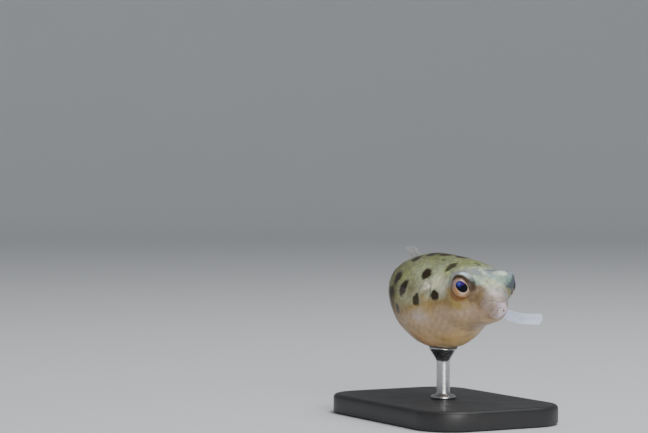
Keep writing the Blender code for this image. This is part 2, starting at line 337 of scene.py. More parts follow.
def through(place, places, values):
    """Cubic curve through values at places, whose slope at each is that of the parabola of its neighbours."""
    slopes = np.gradient(values, places, edge_order=2)
    i = np.clip(np.searchsorted(places, place, side="right") - 1, 0, len(places) - 2)
    span = places[i + 1] - places[i]
    t = (place - places[i]) / span
    start = (1 + 2 * t) * (1 - t) ** 2 * values[i] + t * (1 - t) ** 2 * span * slopes[i]
    end = t * t * (3 - 2 * t) * values[i + 1] + t * t * (t - 1) * span * slopes[i + 1]
    return start + end


def section(place):
    """(top, bottom, half width, height of widest line, squareness above, squareness below) at places."""
    place = np.clip(np.asarray(place, dtype=float), 0.0, 1.0)
    columns = (through(place, SECTIONS[:, 0], SECTIONS[:, k]) for k in range(1, SECTIONS.shape[1]))
    top, bottom, half, middle, above, below = columns
    into = np.clip(1 - place / MOUTH_ROUNDING, 0, 1)
    size = MOUTH_SIZE + (1 - MOUTH_SIZE) * np.sqrt(1 - into**2)
    return middle + (top - middle) * size, middle + (bottom - middle) * size, half * size, middle, above, below


def half_shape(values, upper):
    """(reach from the widest line, squareness) of the upper or the lower half of sections."""
    top, bottom, _, middle, above, below = values
    return np.where(upper, top - middle, middle - bottom), np.where(upper, above, below)


def fold_angle(place):
    """How far the spine has turned to the left at places."""
    t = np.clip((np.asarray(place) - FOLD_START) / (FOLD_END - FOLD_START), 0, 1)
    return TAIL_FOLD * t**FOLD_EASE


def spine(place):
    """(x, y, turn) of the spine at places: the path whose direction is the fold angle."""
    steps = np.linspace(0, SPINE_REACH, SPINE_STEPS + 1)
    turn = fold_angle(steps)
    middle = (turn[1:] + turn[:-1]) / 2
    x = np.concatenate(((0,), np.cumsum(-np.cos(middle)))) * steps[1]
    y = np.concatenate(((0,), np.cumsum(np.sin(middle)))) * steps[1]
    return np.interp(place, steps, x), np.interp(place, steps, y), fold_angle(place)


def lowest_point():
    """Height of the pitched belly's lowest point over the mouth's level, found by trying places along it."""
    places = np.linspace(0.3, 0.8, 200)
    return (section(places)[1] * math.cos(NOSE_DOWN) - spine(places)[0] * math.sin(NOSE_DOWN)).min()


def snout_drawn_back(points):
    """Points of the snout moved back by a smooth share of a shift that grows downwards."""
    x, y, z = np.moveaxis(points, -1, 0)
    shift = SNOUT_SHIFT + SNOUT_SLANT * np.clip(SNOUT_TOP - z, *SNOUT_DROP)
    return xyz(x - smooth(-x, SNOUT_REACH, 0) * shift, y, z)


def in_world(points):
    """World places of points given in body lengths with x forward, y left and z up from the mouth."""
    x, y, z = np.moveaxis(snout_drawn_back(np.asarray(points, dtype=float)), -1, 0)
    c, s = math.cos(NOSE_DOWN), math.sin(NOSE_DOWN)
    place = xyz(x * c + z * s - spine(BALANCE)[0] * c, y, z * c - x * s - lowest_point())
    return place * BODY_LENGTH + np.array((0.0, 0.0, BELLY_HEIGHT))


def bent(points):
    """A straight body's points carried onto the folded spine: -x is the place on it, y the way to its left."""
    ahead, aside, up = np.moveaxis(points, -1, 0)
    x, y, turn = spine(np.clip(-ahead, 0, SPINE_REACH))
    return xyz(x + aside * np.sin(turn) + np.maximum(ahead, 0), y + aside * np.cos(turn), up)


def section_reach(place, polar):
    """Distance from the spine's widest line to the skin in polar directions: the superellipse
    |y/a|^n + |z/b|^n = 1 solved for the radius, with b and n taken from its upper or lower half."""
    values = section(place)
    reach, power = half_shape(values, np.sin(polar) >= 0)
    return (np.abs(np.cos(polar) / values[2]) ** power + np.abs(np.sin(polar) / reach) ** power) ** (-1 / power)


def mark_point(place, angle):
    """Point of the straight body's skin at a place and an angle in degrees: 0 is left, 90 top and 180 right."""
    values = section(place)
    c, s = math.cos(math.radians(angle)), math.sin(math.radians(angle))
    reach, power = (float(v) for v in half_shape(values, s >= 0))
    y, z = abs(c) ** (2 / power) * values[2], abs(s) ** (2 / power) * reach
    return np.array((-place, math.copysign(y, c), values[3] + math.copysign(z, s)))


def section_excess(points):
    """Below 0 inside the straight body and above 0 outside it."""
    x, y, z = np.moveaxis(points, -1, 0)
    values = section(-x)
    half, middle = values[2:4]
    reach, power = half_shape(values, z >= middle)
    return np.abs(y / half) ** power + np.abs((z - middle) / reach) ** power - 1


# ---------------------------------------------------------------- meshes


def grid_faces(rows, columns, around=True):
    """Quads of a grid of rows by columns of points; around joins the last column to the first."""
    i = np.arange(rows - 1)[:, None] * columns
    j = np.arange(columns if around else columns - 1)[None, :]
    k = (j + 1) % columns
    return np.stack((i + j, i + columns + j, i + columns + k, i + k), axis=-1).reshape(-1, 4)


def add_mesh(name, points, faces, material):
    """A smooth-shaded object from points in metres and a list of faces."""
    mesh = bpy.data.meshes.new(name)
    mesh.from_pydata(points.reshape(-1, 3).tolist(), [], faces)
    mesh.materials.append(material)
    mesh.shade_smooth()
    made = bpy.data.objects.new(name, mesh)
    bpy.context.scene.collection.objects.link(made)
    return made


def closed_tube(name, rows, start, end, material):
    """A mesh through rings of equal counts, closed to a point at each end."""
    count, around = rows.shape[:2]
    points = np.concatenate((rows.reshape(-1, 3), start[None], end[None]))
    j = np.arange(around)
    k = (j + 1) % around
    first = np.stack((np.full(around, count * around), j, k), axis=-1)
    base = (count - 1) * around
    last = np.stack((np.full(around, count * around + 1), base + k, base + j), axis=-1)
    faces = grid_faces(count, around).tolist() + first.tolist() + last.tolist()
    return add_mesh(name, points, faces, material)


def closed_sheet(name, front, back, material):
    """A thin mesh between a front and a back grid, whose outlines are joined by a narrow wall."""
    rows, columns = front.shape[:2]
    size = rows * columns
    faces = grid_faces(rows, columns, around=False)
    edge = np.concatenate((
        np.arange(columns), np.arange(1, rows) * columns + columns - 1,
        (rows - 1) * columns + np.arange(columns - 2, -1, -1), np.arange(rows - 2, 0, -1) * columns,
    ))
    following = np.roll(edge, -1)
    wall = np.stack((edge, following, following + size, edge + size), axis=-1)
    faces = np.concatenate((faces, faces[:, ::-1] + size, wall))
    return add_mesh(name, np.stack((back, front)), faces.tolist(), material)


def keep_numbers(made, **values):
    """Stores one number per point as an attribute of each given name."""
    for name, numbers in values.items():
        layer = made.data.attributes.new(name, "FLOAT", "POINT")
        layer.data.foreach_set("value", np.asarray(numbers, dtype=np.float32).ravel())


def keep_colours(made, name, values):
    """Stores one linear colour per point as an attribute."""
    layer = made.data.attributes.new(name, "FLOAT_COLOR", "POINT")
    flat = np.ones((len(made.data.vertices), 4), dtype=np.float32)
    flat[:, :3] = np.clip(values.reshape(-1, 3), 0, 1)
    layer.data.foreach_set("color", flat.ravel())


# ---------------------------------------------------------------- materials and colours


class Look:
    """A material in the making. Its methods add nodes and return their outputs, and what they are given may be
    a constant, a colour or another output."""

    def __init__(self, name, **values):
        """A Principled shader whose sockets are set to constants."""
        self.material = bpy.data.materials.new(name)
        self.material.use_nodes = True
        self.tree = self.material.node_tree
        self.shader = self.tree.nodes["Principled BSDF"]
        for key, value in values.items():
            self.shader.inputs[key.replace("_", " ")].default_value = value
        self.where = self.add("TexCoord", "Object")

    def feed(self, socket, value):
        """Links an output to a socket, or sets the socket to a constant."""
        if isinstance(value, bpy.types.NodeSocket):
            self.tree.links.new(value, socket)
        else:
            socket.default_value = (*value, 1.0) if socket.type == "RGBA" else value

    def into(self, name, value):
        """Feeds one of the shader's own sockets."""
        self.feed(self.shader.inputs[name], value)

    def add(self, kind, output=0, settings=None, **sockets):
        """An output of a new node; i0 stands for its first socket, i1 for the second and so on."""
        made = self.tree.nodes.new("ShaderNode" + kind)
        for key, value in (settings or {}).items():
            setattr(made, key, value)
        for key, value in sockets.items():
            self.feed(made.inputs[int(key[1:]) if key[1:].isdigit() else key], value)
        return made.outputs[output]

    def plus(self, first, second, clamp=False):
        return self.add("Math", 0, {"operation": "ADD", "use_clamp": clamp}, i0=first, i1=second)

    def times(self, first, second):
        return self.add("Math", 0, {"operation": "MULTIPLY"}, i0=first, i1=second)

    def line(self, value, slope, start):
        """start + slope * value"""
        return self.plus(self.times(value, slope), start)

    def step(self, value, start, end, low=0.0, high=1.0):
        """A smooth step from low at start to high at end."""
        kind = {"interpolation_type": "SMOOTHSTEP"}
        return self.add("MapRange", 0, kind, i0=value, i1=start, i2=end, i3=low, i4=high)

    def blend(self, share, first, second, way="MIX"):
        """The first colour with a share of the second laid over it."""
        return self.add("Mix", 2, {"data_type": "RGBA", "blend_type": way}, i0=share, i6=first, i7=second)

    def noise(self, scale, detail=3.0, roughness=0.55, where=None):
        where = self.where if where is None else where
        return self.add("TexNoise", Vector=where, Scale=scale, Detail=detail, Roughness=roughness)

    def attribute(self, name, output="Fac"):
        return self.add("Attribute", output, {"attribute_name": name})

    def bump(self, height, distance, strength):
        self.into("Normal", self.add("Bump", Height=height, Distance=distance, Strength=strength))


def scaled(colour, factor):
    """A colour made lighter or darker by a factor."""
    return tuple(min(1.0, factor * c) for c in colour)


class Paint:
    """Colours over points, mixed from the hues of a settings group."""

    def __init__(self, hue, name, shape):
        self.hue = hue
        self.tone = np.broadcast_to(np.array(getattr(hue, name)), (*shape, 3)).copy()

    def mix(self, name, amount):
        """Moves towards a hue by an amount from 0 to 1."""
        self.tone += (np.array(getattr(self.hue, name)) - self.tone) * np.clip(amount, 0, 1)[..., None]

    def shade(self, amount, factor):
        """Multiplies by a factor, or by one for each of red, green and blue, as far as the amount goes."""
        self.tone *= 1 + amount[..., None] * (np.array(factor) - 1)


# ---------------------------------------------------------------- settings


def colour(name, description, default):
    """A setting for a linear colour."""
    return FloatVectorProperty(
        name=name, description=description, subtype="COLOR", size=3, min=0, max=1, default=default)


def number(name, description, default, **kind):
    """A setting for a number that isn't below 0, of a kind."""
    return FloatProperty(name=name, description=description, min=0, default=default, **kind)


SHARE = {"subtype": "FACTOR", "max": 1}
LENGTH = {"subtype": "DISTANCE", "unit": "LENGTH", "precision": 6}
POWER = {"unit": "POWER"}


class PufferSkinSettings(bpy.types.PropertyGroup):
    back: colour("Back", "Olive of the back", (0.262, 0.283, 0.15))
    patch: colour("Patches", "Yellow-green of the lighter patches on the back", (0.33, 0.37, 0.11))
    flank: colour("Flank", "Pale grey-green of the side", (0.4, 0.4, 0.29))
    belly: colour("Belly", "Pinkish tan of the belly", (0.42, 0.3, 0.21))
    # The lowest belly's own olive tan, painted lighter than the belly above as painted light from below
    low: colour("Underside", "Olive tan of the lowest belly", (0.52, 0.375, 0.215))
    border: colour("Border", "Golden olive where back and belly meet", (0.3, 0.215, 0.085))
    forehead: colour("Forehead", "Pale green-grey between the eyes", (0.39, 0.415, 0.29))
    snout: colour("Snout", "Pinkish grey of the snout", (0.36, 0.3, 0.28))
    cheek: colour("Cheek", "Brown of the band before and under the eye", (0.18, 0.12, 0.07))
    lips: colour("Lips", "Pale lavender of the lips", (0.48, 0.43, 0.48))
    orbit: colour("Orbit", "Teal grey of the swelling round the eye", (0.3, 0.4, 0.37))
    # Painted highlight: the blue white along the crest of the fold over the eye
    brow: colour("Brow", "Blue white of the fold over the eye", (0.66, 0.79, 1.0))
    lilac: colour("Lilac", "Lavender grey of that fold's back end", (0.225, 0.215, 0.27))
    # The crest's own pale colour, with a painted highlight in it
    silver: colour("Silver", "Pale lavender grey of its crest", (0.36, 0.35, 0.4))
    teal: colour("Teal", "Dark teal of its front end", (0.09, 0.125, 0.125))
    gold: colour("Gold", "Golden tan under the eye", (0.37, 0.258, 0.098))
    tan: colour("Tan", "Brown tan before the eye", (0.15, 0.101, 0.06))
    rust: colour("Rust", "Red brown at the eye's lower margin", (0.27, 0.112, 0.036))
    # Painted shade: the dark band under the upper lid's overhang
    lid: colour("Lid", "Dark brown of the upper lid's edge", (0.048, 0.028, 0.019))
    spot: colour("Spots", "Dark brown of the round spots", (0.022, 0.016, 0.007))
    # Painted light: the side behind the eye is painted pale where light falls on it
    pale: colour("Pale flank", "Pale green of the side behind the eye", (0.64, 0.64, 0.48))
    moss: colour("Moss", "Olive grey before the left eye", (0.165, 0.18, 0.132))
    # Also painted shade: the left upper lid's band is laid in this slate
    slate: colour("Slate", "Blue slate round the left eye", (0.082, 0.098, 0.132))
    ash: colour("Ash", "Pale grey before the left eye", (0.29, 0.29, 0.285))
    # Painted highlight on the swelling over the left eye
    sheen: colour("Sheen", "Pale green of the swelling over the left eye", (0.7, 0.77, 0.66))
    # Painted highlights: the pinkish white glints at the pectoral fin's root and on the lips by the mouth
    painted_glint: colour("Pearl", "Pinkish white glints at the pectoral fin's root", (0.95, 0.88, 0.84))
    # Painted shade: the brown grey in the folds over the mouth, at its corner and over the snout's sides
    crease: colour("Crease", "Brown grey in the folds over the mouth", (0.19, 0.15, 0.125))
    # Painted sheen: the bluish white haze on the side of the belly
    haze: colour("Haze", "Bluish white sheen on the side of the belly", (0.42, 0.4, 0.42))
    gloss: number("Gloss", "Strength of the wet film", 0.08, **SHARE)
    grain: number("Grain", "Depth of the skin's fine grain", 0.000012, **LENGTH)


class PufferEyeSettings(bpy.types.PropertyGroup):
    pupil: colour("Pupil", "Navy black of the pupil", (0.001, 0.002, 0.006))
    # Painted reflection: the blue patch in the pupil
    glow: colour("Glow", "Blue sheen in the pupil", (0.075, 0.085, 0.47))
    # Painted reflection: the violet edge of that patch
    violet: colour("Violet", "Violet edge of that sheen", (0.075, 0.022, 0.23))
    iris: colour("Iris", "Tan of the iris", (0.45, 0.295, 0.165))
    warm: colour("Warm", "Orange tan of its lower back part", (0.56, 0.285, 0.11))
    cream: colour("Cream", "Pale ring round the pupil", (0.68, 0.51, 0.37))
    # Painted highlight: the pink cream glint over the pupil
    iris_glint: colour("Pink", "Pink cream over the pupil", (0.7, 0.54, 0.53))
    olive: colour("Olive", "Olive brown where a lid shades it", (0.17, 0.125, 0.085))
    rust: colour("Rust", "Red brown of its lower edge", (0.3, 0.13, 0.06))
    edge: colour("Edge", "Dark teal of the left ball's front margin", (0.03, 0.045, 0.055))
    lilac: colour("Lilac", "Pink lilac of its upper back part", (0.42, 0.29, 0.315))


class PufferFinSettings(bpy.types.PropertyGroup):
    # Partly painted light: the spread fin's milky lavender white is painted brighter and bluer for the light that
    # shines through it
    membrane: colour("Membrane", "Lavender white of the spread pectoral fin", (0.72, 0.785, 1.0))
    film: colour("Film", "Grey of the clear fins", (0.56, 0.54, 0.54))
    # Likewise painted brighter and bluer for the light that shines through the fin
    ray: colour("Rays", "Milky blue white of the rays", (0.82, 0.86, 1.0))
    clear: number("Clear fin", "How solid the folded pectoral fin looks", 0.02, **SHARE)
    soft: number("Soft fins", "How solid the dorsal, anal and tail fins look", 0.36, **SHARE)
    milky: number("Milky fin", "How solid the spread pectoral fin looks", 0.88, **SHARE)
    ray_thickness: number("Ray thickness", "Thickness of the fins at a ray", 0.00014, **LENGTH)
    web_thickness: number("Web thickness", "Thickness of the fins between rays", 0.00004, **LENGTH)


class PufferStandSettings(bpy.types.PropertyGroup):
    base: colour("Base", "Black of the base", (0.018, 0.018, 0.019))
    steel: colour("Steel", "Colour of the rod", (0.56, 0.56, 0.57))
    pad: colour("Pad", "Charcoal of the felt pad under the belly", (0.035, 0.034, 0.036))


class PufferStageSettings(bpy.types.PropertyGroup):
    floor: colour("Floor", "Pale grey of the floor", (0.8, 0.81, 0.825))
    top: number("Top light", "Power of the light overhead", 0.85, **POWER)
    front: number("Front light", "Power of the soft light by the camera", 0.8, **POWER)
    sky: number("Surround", "Brightness of the even light from all round", 0.26)


# ---------------------------------------------------------------- the eyes' place on the head


def aimed(side, forward, up):
    """Unit vector turned by angles forward and up from straight out of one side."""
    level = math.cos(up)
    return np.array((math.sin(forward) * level, side * math.cos(forward) * level, math.sin(up)))


def frame_across(axis, ahead, side):
    """(forward, up) square to an axis, forward lying as near to a way ahead as it can."""
    forward = unit(ahead - axis * (ahead @ axis))
    return forward, np.cross(forward, axis) * side


def eye_frame(side):
    """(centre, axis, forward, up) of an eye in body lengths: side is 1 for the left eye, -1 for the right."""
    centre = np.array((-EYE_PLACE, side * EYE_SIDE, EYE_HEIGHT))
    axis = aimed(side, EYE_FORWARD, EYE_UP)
    return centre, axis, *frame_across(axis, np.array((1.0, 0.0, 0.0)), side)


def eye_coordinates(points, side):
    """(distance from the eye's axis, turn about it in degrees from forward through up, height along it)."""
    centre, axis, forward, up = eye_frame(side)
    off = points - centre
    x, y = off @ forward, off @ up
    return np.hypot(x, y), np.degrees(np.arctan2(y, x)), off @ axis


def sphere_reach(origin, ways, centre, radius):
    """Distance from an origin inside a sphere along ways to its surface."""
    back = origin - centre
    b = ways @ back
    return -b + np.sqrt(b * b - (back @ back - radius * radius))


def body_reach(origin, ways):
    """Distance from an origin inside the straight body along ways to its skin, by halving."""
    near, far = np.zeros(ways.shape[:-1]), np.full(ways.shape[:-1], SEARCH_REACH)
    for _ in range(SEARCH_STEPS):
        middle = (near + far) / 2
        inside = section_excess(origin + ways * middle[..., None]) < 0
        near, far = np.where(inside, middle, near), np.where(inside, far, middle)
    return (near + far) / 2


# Tables by the turn about the eye's axis in degrees, from forward through up. First the radius of the eye's
# opening: the upper front lid hangs well over the iris
OPENING = ((-180, -60, -30, -12, 0, 20, 38, 60, 90, 110, 124, 142, 158, 180),
           (0.0505, 0.0505, 0.0502, 0.0468, 0.0415, 0.0375, 0.036,
            0.036, 0.0374, 0.039, 0.0412, 0.0448, 0.0485, 0.0505))
# The distance from the axis to the crest of the fold over the eye, and to the edge of the upper lid's band of painted
# shade
RIDGE = ((-30, 0, 13, 23, 50, 70, 98, 112, 126, 140, 150, 162, 172),
         (0.059, 0.0605, 0.06, 0.057, 0.0545, 0.0532, 0.0538, 0.056, 0.06, 0.066, 0.0745, 0.085, 0.09))
HOOD = ((-24, -8, 4, 14, 24, 32, 42, 60, 80, 100, 120, 140, 160),
        (0.049, 0.055, 0.0585, 0.059, 0.056, 0.0512, 0.048, 0.047, 0.047, 0.0484, 0.0515, 0.0556, 0.0575))


def opening(turn):
    """Radius of the eye's opening at turns in degrees."""
    return softened(turn, *OPENING, (-12, -6, 0, 6, 12))


def dome_height(wide):
    """Height of the eyeball's dome over the eye's centre at a distance from its axis."""
    return np.sqrt(DOME_RADIUS**2 - np.minimum(wide, DOME_LIMIT) ** 2) - DOME_SINK


def hooded(turn):
    """How far from 0 to 1 the lid hangs over the opening as a hood."""
    return smooth(EYE_OPENING - opening(turn), 0.0, HOOD_FULL)


def lid_gap(turn):
    """Clearance between the eyeball and the skin over it, wider under the upper lid."""
    return LID_GAP * (0.4 + 0.6 * hooded(turn))


def lid_height(wide, turn):
    """How far along the axis the lid's outer face lies at least, so that it clears the eyeball under it."""
    return dome_height(wide) + lid_gap(turn) + LID_THICKNESS * (0.25 + 0.75 * hooded(turn))


def with_lids(points, side, share=1.0):
    """Points of the orbit pushed out along the eye's axis: a ridge over the eye, a low soft roll under it, and
    wherever they lie over the ball, at least the lid's thickness above it."""
    axis = eye_frame(side)[1]
    off, turn, along = eye_coordinates(points, side)
    over = smooth(turn, -25, 25) * smooth(turn, 178, 135)
    rise = RIDGE_RISE * over * hump(off, np.interp(turn, *RIDGE), RIDGE_WIDTH)
    rise += ROLL_RISE * (1 - over) * hump(off, ROLL_REACH, ROLL_WIDTH)
    high = along + rise * share
    high = high + (smooth_max(high, lid_height(off, turn), LID_BLEND) - high) * smooth(off, 0.058, 0.051)
    return points + axis * (high - along)[..., None]


def shape_orbit(points, places, side):
    """The straight body's skin with one eye's orbit worked into it.

    Every point of the head moves along its line from a point inside the head to the smooth union of the body
    and the orbit's sphere. Round the eye the grid is first drawn into rings: its squares map to circles by the
    concentric map, RIM_RING is the edge of the lids, and the rings inside it go back round the eyeball.
    """
    centre, axis, forward, up = eye_frame(side)
    origin, sphere = centre - axis * FAN_SINK, centre - axis * DOME_SINK

    def to_orbit(ways, reach):
        """Points of the smooth union, along ways on which the body's skin lies at a known reach."""
        full = smooth_max(reach, sphere_reach(origin, ways, sphere, DOME_RADIUS), ORBIT_BLEND)
        return origin + ways * full[..., None]

    rows = np.flatnonzero((places[:, 0] >= 0.0) & (places[:, 0] < HEAD_END))
    ways = points[rows] - origin
    reach = np.linalg.norm(ways, axis=-1)
    ways /= reach[..., None]

    # The concentric map of a square block of the grid about the point that the eye's axis pierces
    pierce = origin + axis * body_reach(origin, axis)
    row = int(np.argmin(np.abs(places[:, 0] + pierce[0])))
    pierce_polar = math.atan2(pierce[2] - float(section(-pierce[0])[3]), pierce[1])
    column = int(round(pierce_polar / (2 * math.pi) * points.shape[1]))
    count = np.arange(-LAST_RING, LAST_RING + 1)
    di, dj = np.meshgrid(count, count, indexing="ij")
    by_row = np.abs(di) > np.abs(dj)
    signed = np.where(by_row, di, dj)
    safe_i, safe_j = np.where(di == 0, 1, di), np.where(dj == 0, 1, dj)
    turn = np.where(by_row, math.pi / 4 * dj / safe_i, math.pi / 2 - math.pi / 4 * di / safe_j)
    a, b = signed * np.cos(turn), signed * np.sin(turn)
    ring = np.hypot(a, b)
    # Rows run backward, and columns run up on the left side and down on the right
    flat = -a[..., None] * forward + b[..., None] * up * side
    around = np.degrees(np.arctan2(flat @ up, flat @ forward))
    flat /= np.maximum(ring, 1e-9)[..., None]

    def ways_at(wide):
        """Ways from the origin to the eyeball's dome at a distance from the axis."""
        return unit(axis * (FAN_SINK + dome_height(wide))[..., None] + flat * wide[..., None])

    # Each ring's distance from the axis, and from there its way from the origin to the orbit's sphere
    rim = opening(around)
    share = np.clip((ring - RIM_RING) / (LID_RING - RIM_RING), 0, 1)
    beyond = LID_REACH + (ring - LID_RING) * RING_STEP
    wide = np.where(ring <= LID_RING, rim + share * (LID_REACH - rim), beyond)
    block = np.ix_(row + count - rows[0], (column + count) % points.shape[1])
    keep = smooth(ring, LID_RING + 2, LAST_RING)[..., None]
    mixed = unit(ways[block] * keep + ways_at(wide) * (1 - keep))
    ways[block] = mixed
    reach[block] = body_reach(origin, mixed)
    points[rows] = to_orbit(ways, reach)
    made = with_lids(points[rows][block], side, 1 - keep[..., 0])
    rim_ways = ways_at(rim)
    edge = with_lids(to_orbit(rim_ways, body_reach(origin, rim_ways)), side)
    edge_wide, _, edge_high = eye_coordinates(edge, side)

    # Inside the rim: back under the lid beside the ball's dome, down past it, then across behind it
    drop = np.clip(RIM_RING - ring, 0, RIM_RING)
    wall, gap = np.maximum(edge_wide, SOCKET_REACH), lid_gap(around)
    under = np.interp(drop, (0, 1, 2, 3, 4, 5, 6), (0, 0, 0, 0.25, 0.55, 0.85, 1.0))
    inner_wide = edge_wide + (wall - edge_wide) * under - LID_ROUNDING * np.interp(drop, (0, 1, 2), (0, 1, 0))
    inner_wide = inner_wide * np.interp(drop, (7, 8, 9, 14), (1, 0.95, 0.84, 0))
    inner_high = dome_height(np.minimum(inner_wide, EYE_OPENING)) + gap
    inner_high += (edge_high - inner_high) * np.interp(drop, (0, 1, 2), (1.0, 0.5, 0.0))
    deep = np.interp(drop, (6, 7, 8, 9, 10, 14), (0, 0.012, 0.026, 0.036, 0.042, 0.052))
    inner_high = np.where(drop > 5.5, dome_height(EYE_OPENING) + gap - deep, inner_high)
    inner = centre + flat * inner_wide[..., None] + axis * inner_high[..., None]
    made = np.where((ring < RIM_RING - 0.5)[..., None], inner, made)
    points[np.ix_(rows[0] + block[0].ravel(), block[1].ravel())] = made
    return points


# ---------------------------------------------------------------- the skin's grid


# Runs of the skin's rows: first place, last place, rows. They are closest at the lips and eyes
ROW_RUNS = ((0.022, 0.08, 26), (0.08, 0.3, 82), (0.3, 0.66, 96), (0.66, 1.0, 104))


def skin_rows():
    """Places of the skin's rows, from the front of the lips to the root of the tail fin."""
    lips = ROW_RUNS[0][0] * (1 - np.cos(np.linspace(0, math.pi / 2, 13)))
    return np.concatenate((lips, *(np.linspace(*run)[1:] for run in ROW_RUNS)))


def mouth_rings(polar):
    """Rings from the front of the lips into the mouth, innermost first.

    Each blends the lips' front ring into a wide low slit by a quarter ellipse: radii by the sine, depth by one
    less the cosine. The last few go straight back.
    """
    front = section(0.0)
    curl = np.linspace(0, math.pi / 2, CURL_ROWS + 1)[1:]
    turn = np.concatenate((curl, np.full(THROAT_ROWS, math.pi / 2)))[:, None]
    back = np.concatenate((np.zeros(CURL_ROWS), np.linspace(0.25, 1, THROAT_ROWS)))[:, None]
    into, depth = np.sin(turn), SLIT_DEPTH * (1 - np.cos(turn)) + THROAT_DEPTH * back
    half = front[2] + (SLIT_HALF_WIDTH - front[2]) * into
    middle = front[3] + (SLIT_HEIGHT - front[3]) * into
    up = half_shape(front, np.sin(polar) >= 0)[0]
    up = up + (SLIT_HALF_HEIGHT - up) * into
    shrink = 1 - THROAT_TAPER * back
    return xyz(-depth, half * shrink * np.cos(polar), middle + up * shrink * np.sin(polar))[::-1]


def tail_end(polar):
    """Rings that round the tail stalk off behind its last section: a quarter ellipse of small depth."""
    turn = np.linspace(0, math.pi / 2, 7)[1:-1, None]
    last = section(1.0)
    half, up = last[2] * np.cos(turn), half_shape(last, np.sin(polar) >= 0)[0] * np.cos(turn)
    return xyz(-1.0 - STUB_DEPTH * np.sin(turn), half * np.cos(polar), last[3] + up * np.sin(polar))


def outward(points):
    """Unit normals of a grid that closes round its columns."""
    along = np.gradient(points, axis=0)
    around = (np.roll(points, -1, axis=1) - np.roll(points, 1, axis=1)) / 2
    normals = np.cross(along, around)
    return normals / np.maximum(np.linalg.norm(normals, axis=-1), 1e-12)[..., None]


class Skin:
    """What the folds and colours are worked out from, for every point of the skin's grid."""

    def __init__(self, points, angle):
        self.points = points
        self.place = np.clip(-points[..., 0], 0, 1)
        self.y, self.z = points[..., 1], points[..., 2]
        self.side = np.abs(self.y)  # distance from the plane of symmetry
        self.left = (self.y > 0) * 1.0
        self.down = np.abs((angle - 90 + 180) % 360 - 180)  # degrees from the midline of the back
        # Distance from the axis, turn about it and height along it, for the eye on the point's own side
        both = zip(eye_coordinates(points, 1), eye_coordinates(points, -1))
        self.off, self.turn, self.along = (np.where(self.y > 0, left, right) for left, right in both)


def lip_fold(down):
    """Place of the fold over the upper lip, by degrees down from the midline of the back."""
    return 0.021 + 0.046 * np.clip(down / 57, 0, 1.25) ** 1.6


def eye_waves(off):
    """Waves of skin in rings round the eye, between -1 and 1, by the distance from its axis."""
    return np.cos((off - WAVE_START) * 2 * math.pi / WAVE_LENGTH)


def relief(skin):
    """Height of the skin's folds above the plain body, in body lengths."""
    points, place, side, z, down, off = skin.points, skin.place, skin.side, skin.z, skin.down, skin.off
    height = 0.00045 * ripple(points, 0.034, 5) + 0.00014 * ripple(points, 0.011, 6)
    # Two folds over the upper lip with a swelling before them, then a fold under the chin with another
    lip, behind_lips = lip_fold(down), smooth(place, 0.004, 0.016)
    height -= 0.0024 * hump(place, lip, 0.0052) * smooth(down, 62, 34) * behind_lips
    height -= 0.0012 * hump(place, lip + 0.014, 0.0046) * smooth(down, 70, 40)
    height += 0.0024 * hump(place, lip - 0.011, 0.007) * smooth(down, 80, 50) * smooth(place, 0.002, 0.01)
    chin, below = 0.026 + 0.02 * np.clip((180 - down) / 70, 0, 1.2) ** 1.8, smooth(180 - down, 88, 60)
    height -= 0.004 * hump(place, chin, 0.0045) * below * behind_lips
    height += 0.0022 * hump(place, chin - 0.012, 0.007) * below * smooth(place, 0.002, 0.01)
    # Ripples of skin before and under the eye, and a soft hollow between the eyes and the snout
    near = smooth(off, 0.052, 0.056) * smooth(off, 0.086, 0.07) * hump(skin.turn, -38, 40)
    height += 0.0009 * eye_waves(off) * near
    height -= 0.005 * hump(place, 0.118, 0.03) * hump(side, 0.0, 0.045) * smooth(z, 0.05, 0.09)
    # Nostrils: a low tube before each eye with a pit in it
    nostril = np.hypot((place - 0.092) / 1.15, side - 0.034)
    height += (0.0085 * hump(nostril, 0, 0.0085) - 0.0095 * hump(nostril, 0, 0.003)) * smooth(z, 0.045, 0.06)
    # Gill slit, and the fleshy lobe that carries the pectoral fin
    slit, flank = 0.358 + 5.0 * (z - 0.034) ** 2, side > 0.09
    slit_span = smooth(z, -0.012, 0.012) * smooth(z, 0.078, 0.058) * flank
    height -= 0.0062 * hump(place, slit, 0.005) * slit_span
    height += 0.0036 * hump(place, slit - 0.012, 0.009) * slit_span
    height += 0.011 * smooth(np.hypot((place - 0.388) / 0.026, (z - 0.022) / 0.046), 1.25, 0.35) * flank
    # Low fleshy feet under the dorsal and anal fins, and the vent
    height += 0.009 * hump(side, 0, 0.012) * hump(place, 0.758, 0.04) * (z > 0.05)
    height += 0.008 * hump(side, 0, 0.012) * hump(place, 0.776, 0.036) * (z < -0.04)
    height += 0.006 * hump(side, 0, 0.016) * hump(place, 0.7, 0.016) * (z < -0.04)
    # Creases inside the fold of the tail
    inside = smooth(skin.y, 0.01, 0.055) * smooth(place, 0.69, 0.76) * smooth(place, 0.98, 0.92)
    crease = (place + 0.1 * z + 0.004 * ripple(points, 0.12, 8)) / 0.03
    height -= 0.0046 * inside * np.abs(np.sin(math.pi * crease)) ** 6
    # Loose skin of the belly
    belly = smooth(z, -0.03, -0.12) * smooth(place, 0.16, 0.3) * smooth(place, 0.76, 0.66)
    return height + 0.0011 * belly * ripple(points * np.array((1.0, 1.0, 1.6)), 0.075, 9)


